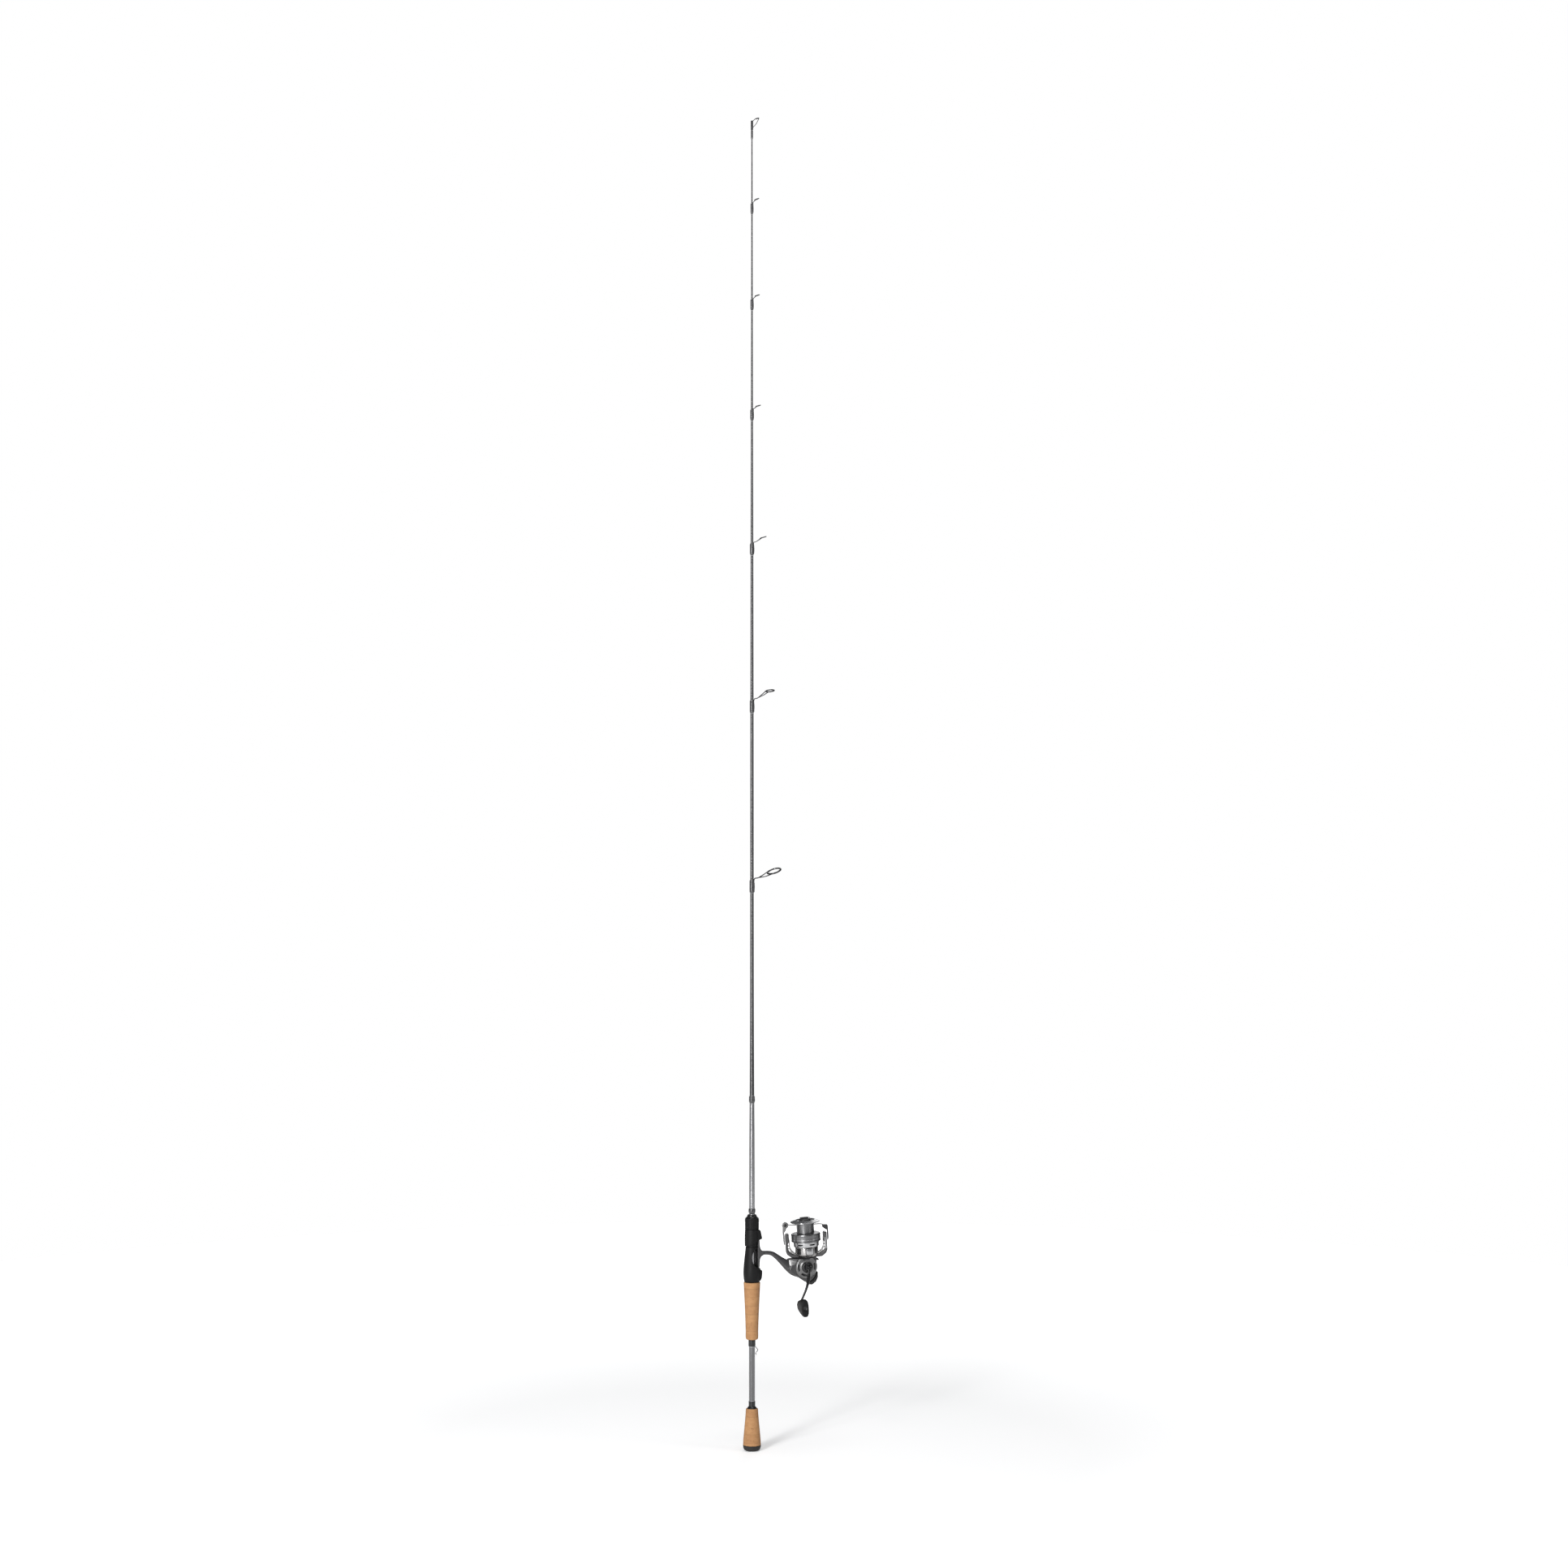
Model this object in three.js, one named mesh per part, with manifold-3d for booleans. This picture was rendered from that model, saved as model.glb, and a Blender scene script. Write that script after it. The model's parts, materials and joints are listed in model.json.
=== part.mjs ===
// A one-piece spinning rod with a front-drag spinning reel.
//
// Millimetres. The rod's axis is +Z, with its tip up. The reel stands off it towards +X and its
// crank is on the -Y side. The origin is the middle of the butt end.
import * as THREE from 'three';
import { mergeVertices } from 'three/addons/utils/BufferGeometryUtils.js';
import Module from 'manifold-3d';

const wasm = await Module();
wasm.setup();

// ---------------------------------------------------------------- driving dimensions

const GAP = 0.3; // between neighbouring pieces
const DEG = Math.PI / 180;

// Rod
const BLANK = [ // [height, radius] of the blank's outside
  [12, 4.45], [155, 4.45], [250, 4.25], [360, 4.05], [467, 3.8], [560, 3.2], [708, 2.75],
  [1069, 2.5], [1310, 2.1], [1552, 1.62], [1823, 1.15], [1972, 0.9],
];
const BLANK_WALL = 1.1;
const BLANK_BORE_TOP = 1310;

// Reel seat
const SEAT_BOTTOM = 250.3;
const BARREL_RADIUS = 8.4;
const BARREL_TOP = 343;
const SCOOP = { x: 14.2, z: 286.8, radius: 16.6 };
const FOOT = { low: 264, high: 322.5, inner: 7.6, outer: 11, halfWidth: 6.8 };
const HOOD = { low: 304, high: 328.8, radius: 10.9, lip: 14.3 };
const NUT = { low: 329.2, high: 345.6, radius: 10.5 };

// Reel, in its own frame: +Z along the spool's axis, -Y towards the crank
const REEL_PLACE = { x: 80.2, z: 271.6 };
const REEL_LEAN = 3.8 * DEG;
const SPOOL_OFFSET = 5.2; // from the crank's axis out to the spool's axis
const ROTOR_YAW = -14 * DEG; // where the rotor stands at rest
const ROTOR_FLOOR = 12.8; // height of the housing's flat top, under the rotor
const GEARBOX_RADIUS = 16.7;
const GEARBOX_HALF = 12;
const CAVITY_RADIUS = 11.9;
const MAIN_SHAFT_RADIUS = 1.5;
const PINION = { bore: 1.85, radius: 2.9, low: 5, high: 31.5 };
const OSCILLATION = { x: 2, z: -10.3, radius: 6.8 };
const ARM = { inner: 25.2, outer: 31.2, halfWidth: 6.6, low: 12.6, high: 49.5 };
const PIVOT_HEIGHT = 42.8; // of the bail's hinge
const LEVER = { inner: 31.6, outer: 34 };
const ROLLER = { x: -29.6, z: 62.4, radius: 3.4, bore: 1.7 };
const FOLD = { y: -25.4, lug: 2.7, ear: 3.8, bore: 1.3 }; // the crank's folding joint
const KNOB = { x: -20.9, z: -50, eye: -42.2, base: -44.6, end: -76 };

// ---------------------------------------------------------------- shapes

// A copy of a geometry with shared corners and no collapsed triangles.
function weld(geometry) {
  const bare = geometry.clone();
  bare.deleteAttribute('normal');
  bare.deleteAttribute('uv');
  const merged = mergeVertices(bare, 1e-4);
  const corners = merged.index.array;
  const kept = [];
  for (let i = 0; i < corners.length; i += 3) {
    const [a, b, c] = corners.slice(i, i + 3);
    if (a !== b && b !== c && c !== a) kept.push(a, b, c);
  }
  merged.setIndex(kept);
  return merged;
}

function toSolid(geometry) {
  const welded = weld(geometry);
  return new wasm.Manifold(new wasm.Mesh({
    numProp: 3,
    vertProperties: new Float32Array(welded.attributes.position.array),
    triVerts: new Uint32Array(welded.index.array),
  }));
}

function toGeometry(solid) {
  const mesh = solid.getMesh();
  const geometry = new THREE.BufferGeometry();
  geometry.setAttribute('position', new THREE.BufferAttribute(mesh.vertProperties, mesh.numProp));
  geometry.setIndex(new THREE.BufferAttribute(mesh.triVerts, 1));
  return geometry;
}

function join(...geometries) {
  return toGeometry(geometries.map(toSolid).reduce((whole, piece) => whole.add(piece)));
}

function cut(body, ...tools) {
  return toGeometry(tools.map(toSolid).reduce((whole, tool) => whole.subtract(tool), toSolid(body)));
}

// A turned solid about +Z. The profile is [radius, height] points, anticlockwise.
function turned(profile, sides = 20) {
  const points = profile.map(([radius, height]) => new THREE.Vector2(radius, height));
  return new THREE.LatheGeometry(points, sides).rotateX(Math.PI / 2);
}

// A turned solid about +Y, from [radius, y] points.
function turnedY(profile, sides = 20) {
  const points = profile.map(([radius, y]) => new THREE.Vector2(radius, y));
  return new THREE.LatheGeometry(points, sides);
}

function disc(radius, low, high, sides = 20) {
  return turned([[0, low], [radius, low], [radius, high], [0, high]], sides);
}

function tube(inner, outer, low, high, sides = 20) {
  return turned([[inner, low], [outer, low], [outer, high], [inner, high], [inner, low]], sides);
}

function discY(radius, low, high, sides = 20) {
  return turnedY([[0, low], [radius, low], [radius, high], [0, high]], sides);
}

function tubeY(inner, outer, low, high, sides = 20) {
  return turnedY([[inner, low], [outer, low], [outer, high], [inner, high], [inner, low]], sides);
}

function block(x0, x1, y0, y1, z0, z1) {
  return new THREE.BoxGeometry(x1 - x0, y1 - y0, z1 - z0)
    .translate((x0 + x1) / 2, (y0 + y1) / 2, (z0 + z1) / 2);
}

// A plate with its outline in the XZ plane, from y0 to y1, with its edges bevelled.
function plate(outline, y0, y1, bevel = 0) {
  const shape = new THREE.Shape(outline.map(([x, z]) => new THREE.Vector2(x, z)));
  const geometry = new THREE.ExtrudeGeometry(shape, {
    depth: y1 - y0 - 2 * bevel,
    bevelEnabled: bevel > 0,
    bevelThickness: bevel,
    bevelSize: bevel,
    bevelOffset: -bevel,
    bevelSegments: 1,
    curveSegments: 6,
  });
  return geometry.rotateX(Math.PI / 2).translate(0, y1 - bevel, 0);
}

// A round-ended section swept along a smooth curve through the points.
function swept(points, radius, { steps = 6, sides = 6, flat = 1 } = {}) {
  const section = new THREE.Shape();
  for (let i = 0; i < sides; i += 1) {
    const angle = (i / sides) * 2 * Math.PI;
    const corner = [radius * Math.cos(angle), radius * flat * Math.sin(angle)];
    if (i === 0) section.moveTo(...corner);
    else section.lineTo(...corner);
  }
  const curve = new THREE.CatmullRomCurve3(points.map((point) => new THREE.Vector3(...point)));
  return new THREE.ExtrudeGeometry(section, { steps, extrudePath: curve });
}

// Radial teeth on a disc about +Z, as one outline.
function toothedOutline(root, tip, count) {
  const outline = [];
  for (let tooth = 0; tooth < count; tooth += 1) {
    for (const [share, radius] of [[0.05, root], [0.3, tip], [0.55, tip], [0.8, root]]) {
      const angle = ((tooth + share) / count) * 2 * Math.PI;
      outline.push([radius * Math.cos(angle), radius * Math.sin(angle)]);
    }
  }
  return outline;
}

function blankRadius(height) {
  for (let i = 1; i < BLANK.length; i += 1) {
    const [low, radiusLow] = BLANK[i - 1];
    const [high, radiusHigh] = BLANK[i];
    if (height <= high) {
      return radiusLow + ((radiusHigh - radiusLow) * (height - low)) / (high - low);
    }
  }
  return BLANK[BLANK.length - 1][1];
}

// ---------------------------------------------------------------- finishes

const finish = (color, roughness, metalness) => ({ color, roughness, metalness });
const CORK = finish(0xc49a6c, 0.8, 0);
const SOFT_BLACK = finish(0x1d1d1f, 0.7, 0);
const GLOSS_BLACK = finish(0x0f0f11, 0.2, 0);
const BLANK_BLACK = finish(0x141416, 0.25, 0);
const GUNMETAL = finish(0x5a5c5f, 0.4, 0.6);
const DARK_GUNMETAL = finish(0x3c3d40, 0.45, 0.5);
const SILVER = finish(0xa7a8aa, 0.3, 0.8);
const STEEL = finish(0xc0c2c4, 0.25, 1);
const BRASS = finish(0xb59a55, 0.35, 1);
const CERAMIC = finish(0x0b0b0c, 0.15, 0);
const FELT = finish(0x8b8b86, 0.9, 0);

const model = new THREE.Group();

function addTo(group, name, geometry, look) {
  const mesh = new THREE.Mesh(weld(geometry), new THREE.MeshStandardMaterial(look));
  mesh.name = name;
  group.add(mesh);
  return mesh;
}

// ---------------------------------------------------------------- rod and handle

function rodBlank() {
  const outside = BLANK.map(([height, radius]) => [radius, height]);
  const inside = BLANK.filter(([height]) => height <= BLANK_BORE_TOP)
    .map(([height, radius]) => [radius - BLANK_WALL, height])
    .reverse();
  const tip = [0, BLANK[BLANK.length - 1][0]];
  const boreEnd = [0, BLANK_BORE_TOP];
  return turned([...inside.slice().reverse().slice(0, 1), ...outside, tip, boreEnd, ...inside], 12);
}

// A grip or collar turned about the rod with a bore that clears the blank.
function sleeve(outside, sides = 20) {
  const bore = outside.map(([, height]) => blankRadius(height) + GAP);
  const low = outside[0][1];
  const high = outside[outside.length - 1][1];
  return turned([
    [bore[0], low], ...outside, [bore[bore.length - 1], high], [bore[0], low],
  ], sides);
}

function buttCap() {
  return turned([
    [0, 0], [8, 0], [11.2, 1.6], [13, 4.6], [13.3, 8.4], [7, 8.4], [7, 10.6], [0, 10.6],
  ]);
}

function buttGrip() {
  const outside = [
    [13.2, 8.7], [13.2, 12], [12.4, 22], [11.4, 33], [10.4, 44], [9.6, 54], [9.1, 61], [8.4, 62.6],
  ];
  const bore = 4.45 + GAP;
  return turned([
    [7.3, 8.7], ...outside, [bore, 62.6], [bore, 10.9], [7.3, 10.9], [7.3, 8.7],
  ]);
}

function reelSeat() {
  const body = sleeve([
    [10.3, SEAT_BOTTOM], [11.6, 252], [12.6, 259], [12.8, 267], [12.2, 276], [11.2, 286],
    [10.1, 296], [9.5, 302.6], [BARREL_RADIUS, 303.4], [BARREL_RADIUS, BARREL_TOP],
  ]);
  const fixedHood = plate([
    [8, 252.6], [11.4, 252.6], [13.6, 257], [14.2, 263], [14.2, 267.6], [13, 268.6], [8, 268.6],
  ], -7.6, 7.6, 1.2);
  const scoop = discY(SCOOP.radius, -20, 20, 24).translate(SCOOP.x, 0, SCOOP.z);
  const keepHood = block(10.9, 20, -20, 20, 254, 269.5);
  const footBed = block(FOOT.inner - GAP, FOOT.outer + GAP, -FOOT.halfWidth - GAP,
    FOOT.halfWidth + GAP, FOOT.low - 0.8, BARREL_TOP - 18);
  return cut(join(body, fixedHood), cut(scoop, keepHood), footBed);
}

function seatHood() {
  const round = turned([
    [0, HOOD.low], [HOOD.radius, HOOD.low], [HOOD.radius, HOOD.high - 1.5],
    [HOOD.radius - 0.8, HOOD.high], [0, HOOD.high],
  ]);
  const lip = plate([
    [6, HOOD.low], [HOOD.lip - 0.8, HOOD.low], [HOOD.lip, 312], [HOOD.lip, 318],
    [HOOD.lip - 1.6, 324.6], [HOOD.radius - 1.2, HOOD.high - 1], [6, HOOD.high - 1],
  ], -8.2, 8.2, 1.4);
  const bore = disc(BARREL_RADIUS + GAP, HOOD.low - 2, HOOD.high + 2);
  const footPocket = block(FOOT.inner - GAP, FOOT.outer + GAP, -FOOT.halfWidth - GAP,
    FOOT.halfWidth + GAP, HOOD.low - 2, FOOT.high + 0.4);
  const slant = plate([[-20, 300], [20, 300], [20, 317], [-20, 301.5]], -20, 20);
  return cut(join(round, lip), bore, footPocket, slant);
}

function seatNut() {
  const core = NUT.radius - 0.7;
  const bore = BARREL_RADIUS + GAP;
  const ribs = toothedOutline(core, NUT.radius, 20);
  const shape = new THREE.Shape(ribs.map(([x, y]) => new THREE.Vector2(x, y)));
  const barrel = new THREE.ExtrudeGeometry(shape, {
    depth: NUT.high - NUT.low - 2.4,
    bevelEnabled: false,
  }).translate(0, 0, NUT.low + 1.2);
  const rims = disc(NUT.radius - 0.4, NUT.low, NUT.high, 20);
  return cut(join(barrel, rims), disc(bore, NUT.low - 1, NUT.high + 1));
}

function hookKeeper() {
  return swept([[5.5, 0, 154.2], [7.6, 0, 151.4], [9.2, 0, 148.8], [7.2, 0, 146], [5.5, 0, 144],
    [7, 0, 141.4]], 0.6, { steps: 12, sides: 6 });
}

// ---------------------------------------------------------------- guides

// One guide: its ring's radius, place and tilt, and its wrap's low end, high end and radius.
function guideOf(size, tube, offset, height, lean, roll, wrap) {
  return { size, tube, offset, height, lean, roll, wrap };
}

const GUIDES = [ // from the reel to the tip
  guideOf(11.6, 0.9, 33.8, 860.4, 20.5, -13, [827.9, 847.4, 3.7]),
  guideOf(7.6, 0.8, 27.4, 1128.6, 10.3, -13, [1095.3, 1114.3, 3.35]),
  guideOf(5.4, 0.65, 17.3, 1356.7, 17, 0, [1330, 1347.4, 3.2]),
  guideOf(4.5, 0.6, 9.4, 1552, 17, 0, [1529.8, 1546, 2.7]),
  guideOf(4.2, 0.55, 8.1, 1716, 18, 0, [1693.6, 1710, 2.4]),
  guideOf(4.1, 0.5, 7.3, 1859, 21, 0, [1836.4, 1852.5, 2.15]),
];
const WRAPPED_GUIDES = 3; // the small guides' wraps are only a skin of thread
const INSERT_DEPTH = 1.1;
const FOOT_LIFT = 0.7; // how far a foot pushes its wrap off the blank's middle

function poseRing(geometry, guide) {
  return geometry
    .rotateX(-guide.roll * DEG)
    .rotateY(-guide.lean * DEG)
    .translate(guide.offset, 0, guide.height);
}

function ringPoint(guide, angle, radius) {
  return new THREE.Vector3(radius * Math.cos(angle), radius * Math.sin(angle), 0)
    .applyAxisAngle(new THREE.Vector3(1, 0, 0), -guide.roll * DEG)
    .applyAxisAngle(new THREE.Vector3(0, 1, 0), -guide.lean * DEG)
    .add(new THREE.Vector3(guide.offset, 0, guide.height))
    .toArray();
}

function torus(major, minor, around, section) {
  return new THREE.TorusGeometry(major, minor, section, around);
}

function guideFrame(guide, around, legSteps) {
  const [low, high] = guide.wrap;
  const middle = guide.size - guide.tube;
  const surface = blankRadius(low) + 0.25;
  const foot = block(surface, surface + 0.4, -guide.tube * 1.4, guide.tube * 1.4, low + 1,
    high + 1.4);
  const start = [surface + 0.3, 0, high + 0.7];
  const fork = [
    surface + (guide.offset - guide.size - surface) * 0.35,
    0,
    high + (guide.height - high) * 0.25,
  ];
  const legs = [1, -1].map((side) => {
    const end = ringPoint(guide, Math.PI - side * 0.95, middle);
    const lift = [
      (fork[0] + end[0]) / 2,
      end[1] * 0.72,
      (fork[2] + end[2]) / 2 - guide.size * 0.06,
    ];
    return swept([start, fork, lift, end], guide.tube * 0.85, { steps: legSteps, sides: 5 });
  });
  const hoop = poseRing(torus(middle, guide.tube, around, 5), guide);
  return join(foot, hoop, ...legs);
}

function guideInsert(guide, around) {
  const outer = guide.size - 2 * guide.tube - 0.3;
  const wall = 0.5 + guide.size * 0.1;
  const half = INSERT_DEPTH * (0.55 + guide.size * 0.05);
  const profile = [
    [outer - wall, 0], [outer - wall * 0.5, -half], [outer, -half * 0.4],
    [outer, half * 0.4], [outer - wall * 0.5, half], [outer - wall, 0],
  ];
  return poseRing(turned(profile, around), guide);
}

function threadWrap([low, high, radius], footHalf) {
  const bore = blankRadius(low) + 0.25;
  const outside = turned([
    [0, low], [radius - 0.5, low], [radius, low + 1.4], [radius, high - 1.4],
    [radius - 0.5, high], [0, high],
  ], 16);
  const hole = disc(bore, low - 1, high + 1, 16);
  if (!footHalf) return cut(outside, hole);
  outside.translate(FOOT_LIFT, 0, 0);
  const slot = block(0, bore + 0.6, -footHalf - 0.2, footHalf + 0.2, low + 0.7, high + 2);
  return cut(outside, hole, slot);
}

const TIP = guideOf(3.3, 0.5, 7.8, 1978.9, 15, 0, []);
const TIP_TUBE = [1961.2, 1975.4];

function tipFrame() {
  const [low, high] = TIP_TUBE;
  const sleeveWall = tube(0.9 + GAP, 1.75, low, high, 12);
  const cap = disc(1.75, high - 1.5, high, 12);
  const middle = TIP.size - TIP.tube;
  const upper = swept([[0.6, 0, high - 0.7], [2.4, 0, high + 0.4], ringPoint(TIP, Math.PI, middle)],
    0.5, { steps: 3 });
  const brace = swept([[1.4, 0, low + 4], [6.8, 0, low + 10.4], ringPoint(TIP, 0, middle + 0.3)],
    0.45, { steps: 4 });
  const bump = disc(0.6, low + 6, low + 8.4, 6).translate(-1.9, 0, 0);
  return join(sleeveWall, cap, upper, brace, bump, poseRing(torus(middle, TIP.tube, 14, 6), TIP));
}

// ---------------------------------------------------------------- reel body

const reelFrame = new THREE.Group();
reelFrame.position.set(REEL_PLACE.x, 0, REEL_PLACE.z);
reelFrame.rotation.y = -REEL_LEAN;

const spoolLine = new THREE.Group(); // +Z is the spool's axis
spoolLine.position.x = SPOOL_OFFSET;

const onSpoolLine = (geometry) => geometry.translate(SPOOL_OFFSET, 0, 0);

// The room that the rotor turns in.
function rotorRoom() {
  return onSpoolLine(tube(10.6, 45, ROTOR_FLOOR - 0.3, 70, 24));
}

// From the rod's frame into the reel's.
function intoReel(geometry) {
  return geometry.translate(-REEL_PLACE.x, 0, -REEL_PLACE.z).rotateY(REEL_LEAN);
}

function reelBody() {
  const gearbox = turnedY([
    [0, -GEARBOX_HALF], [GEARBOX_RADIUS - 1, -GEARBOX_HALF], [GEARBOX_RADIUS, -11],
    [GEARBOX_RADIUS, 9.6], [GEARBOX_RADIUS - 3, GEARBOX_HALF], [0, GEARBOX_HALF],
  ], 28);
  const housing = intoReel(plate([
    [61, 281.5], [66, 284.5], [72, 289], [96.4, 289], [97.6, 284], [97.6, 264], [95.4, 256.2],
    [90.4, 250.8], [84.6, 247.6], [79.5, 248.2], [69.5, 255.4], [58, 262.9], [52, 268],
  ], -9.4, 9.4, 2.6));
  const leg = intoReel(plate([
    [11.6, 296.6], [28, 296.6], [33.3, 294.4], [40.4, 288.8], [48, 283.8], [55.3, 280.4],
    [70, 280], [70, 258], [58.2, 262.5], [46.3, 272.4], [36.8, 281.4], [30.8, 286.8],
    [24.9, 289.6], [11.6, 290.2],
  ], -4.6, 4.6, 1.6));
  const foot = intoReel(plate([
    [7.6, FOOT.low], [9.2, FOOT.low], [10.6, 274], [FOOT.outer, 286], [15, 290], [15, 297],
    [FOOT.outer, 302], [10.4, 312], [9, FOOT.high], [7.6, FOOT.high],
  ], -FOOT.halfWidth + 0.4, FOOT.halfWidth - 0.4, 0));
  const neck = onSpoolLine(disc(10.2, 4, 21.8, 24));
  const farBoss = discY(7.4, 11, 13.4, 24);
  const shell = join(gearbox, housing, leg, foot, neck, farBoss);

  const gearRoom = discY(CAVITY_RADIUS, -20, 9.2, 24);
  const rearRoom = block(1, 9.4, -4.2, 5, -21.2, 0);
  const barRoom = block(-2, 9.4, 2, 5, -21.2, 0);
  const sideRoom = discY(OSCILLATION.radius + 1, 4.8, 9.2, 20)
    .translate(OSCILLATION.x, 0, OSCILLATION.z);
  const bearingRoom = onSpoolLine(disc(6.8, 13, 16.4, 24));
  const clutchRoom = onSpoolLine(disc(8.6, 16.2, 30, 24));
  const pinionHole = onSpoolLine(disc(3.6, 4, 20, 16));
  const shaftHole = discY(3.4, 5, 20, 16);
  const bearingPocket = discY(5.3, 9, 11.6, 20);
  const leverSlot = block(14.4, 26, -1.5, 1.5, 6.4, 11.2);
  return cut(shell, rotorRoom(), gearRoom, rearRoom, barRoom, sideRoom, bearingRoom,
    clutchRoom, pinionHole, shaftHole, bearingPocket, leverSlot);
}

function sideCover() {
  const dish = turnedY([
    [3.6, -16.4], [9, -16.4], [9.8, -15.6], [15, -15.2], [GEARBOX_RADIUS, -14.2],
    [GEARBOX_RADIUS, -12.3], [5.3, -12.3], [5.3, -15], [3.6, -15], [3.6, -16.4],
  ], 28);
  return cut(dish, rotorRoom());
}

function rearCap() {
  return intoReel(plate([
    [84.9, 247.3], [84.6, 244.6], [90.6, 243.9], [96.6, 248.4], [99.4, 255], [99.2, 263],
    [98.7, 263.6], [95.8, 256], [90.7, 250.4],
  ], -8.4, 8.4, 0));
}

function antiReverseLever() {
  return plate([
    [14.9, 7.6], [16.6, 7.2], [22.6, 6.2], [23.4, 7.4], [20.6, 10], [15.2, 10.4],
  ], -1.1, 1.1, 0);
}

// ---------------------------------------------------------------- reel drive

function gearOutlineY(root, tip, count, y0, y1) {
  return plate(toothedOutline(root, tip, count), y0, y1);
}

function driveGear() {
  const webbed = turnedY([
    [2.95, -11], [4.6, -11], [4.6, -7.4], [11.2, -6.6], [11.2, -4.6], [4.6, -4.6], [4.6, -3.6],
    [2.95, -3.6], [2.95, -11],
  ], 24);
  const teeth = [];
  for (let tooth = 0; tooth < 12; tooth += 1) {
    const angle = (tooth / 12) * 2 * Math.PI;
    teeth.push(block(7.6, 11, -4.9, -3.5, -0.6, 0.6).rotateY(angle));
  }
  return join(webbed, ...teeth);
}

function handleShaft() {
  const core = turnedY([
    [0, -19.4], [2.6, -19.4], [2.6, 12.2], [0, 12.2],
  ], 16);
  return join(core, gearOutlineY(2.9, 3.5, 10, 6.2, 8.6));
}

function oscillationGear() {
  const wheel = gearOutlineY(OSCILLATION.radius - 0.7, OSCILLATION.radius - 0.1, 20, 6.2, 8);
  const pin = discY(1, 5.3, 6.4, 10).translate(4, 0, 0);
  return join(wheel, pin);
}

function oscillationSlider() {
  const bar = block(-1.5, 8.6, 2.6, 4.6, -14, -10);
  const sleeveBlock = block(SPOOL_OFFSET - 3, SPOOL_OFFSET + 3, -2.6, 3, -14, -10);
  const hole = onSpoolLine(disc(MAIN_SHAFT_RADIUS + 0.3, -16, -8, 14));
  const slot = block(-0.6, 7, 3.8, 6, -12.9, -11.1);
  return cut(join(bar, sleeveBlock), hole, slot);
}

function pinionGear() {
  const teeth = toothedOutline(PINION.radius - 0.6, PINION.radius, 9);
  const shape = new THREE.Shape(teeth.map(([x, y]) => new THREE.Vector2(x, y)));
  const toothed = new THREE.ExtrudeGeometry(shape, { depth: 7, bevelEnabled: false })
    .translate(0, 0, PINION.low);
  const barrel = disc(PINION.radius, PINION.low + 7, PINION.high, 18);
  return cut(join(toothed, barrel), disc(PINION.bore, 0, 40, 16));
}

// ---------------------------------------------------------------- rotor and bail

function rotorNut() {
  return cut(disc(6.2, 26.8, 30.4, 6), disc(3.2, 26, 31, 16));
}

// One of the rotor's two arms, as an open frame, at the angle 0 side.
function rotorArm() {
  const solid = plate([
    [12, ARM.low], [23, ARM.low + 0.4], [29.6, 17.8], [ARM.outer, 22.6], [ARM.outer, ARM.high - 3],
    [ARM.outer - 2, ARM.high], [ARM.inner + 1, ARM.high], [ARM.inner, ARM.high - 2],
    [ARM.inner - 0.6, 26], [22, 22], [16.6, 19.6], [12, 18.8],
  ], -ARM.halfWidth, ARM.halfWidth, 1.4);
  const pivotHole = new THREE.CylinderGeometry(2, 2, 12, 14).rotateZ(Math.PI / 2)
    .translate(ARM.outer, 0, PIVOT_HEIGHT);
  const webWindow = block(19, 27, -2.6, 2.6, 8, 40);
  return cut(solid, pivotHole, webWindow);
}

function rotor() {
  const cup = turned([
    [11.2, 12.6], [12.8, 12.6], [17.2, 17.4], [17.2, 39.5], [15.9, 39.5], [15.9, 26.4],
    [3.3, 26.4], [3.3, 23.2], [11.2, 23.2], [11.2, 12.6],
  ], 24);
  const arms = [rotorArm(), rotorArm().rotateZ(Math.PI)];
  const neckRoom = disc(11.2, 0, 23.2, 24);
  const springPocket = new THREE.CylinderGeometry(4.2, 4.2, 4, 16).rotateZ(Math.PI / 2)
    .translate(ARM.outer - 1.7, 0, PIVOT_HEIGHT);
  return cut(join(cup, ...arms), neckRoom, springPocket);
}

function bailArm() {
  const lever = turned([[0, 0], [5.2, 0], [5.2, 1.4], [4.2, 2.4], [0, 2.4]], 20)
    .rotateY(-Math.PI / 2).translate(-LEVER.inner, 0, PIVOT_HEIGHT);
  const stem = plate([
    [-LEVER.outer + 0.2, 38.4], [-LEVER.inner, 38.4], [-LEVER.inner, 50], [ROLLER.x + 1, 58],
    [ROLLER.x - 3.6, 60], [-LEVER.outer, 52],
  ], -5.6, 2.2, 0.8);
  const tail = plate([[-LEVER.outer + 0.4, 34.6], [-LEVER.inner, 33.6], [-LEVER.inner, 40],
    [-LEVER.outer + 0.2, 40]], -2.2, 2.2, 0);
  const eye = discY(4.9, -6.4, -3.7, 22).translate(ROLLER.x, 0, ROLLER.z);
  const stud = new THREE.CylinderGeometry(1.6, 1.6, 4, 12).rotateZ(Math.PI / 2)
    .translate(-LEVER.inner + 1.6, 0, PIVOT_HEIGHT);
  const rollerRoom = discY(4.4, -3.7, 9, 20).translate(ROLLER.x, 0, ROLLER.z);
  const screwHole = discY(1.7, -9, 0, 14).translate(ROLLER.x, 0, ROLLER.z);
  return cut(join(lever, stem, tail, eye, stud), rollerRoom, screwHole);
}

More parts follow.
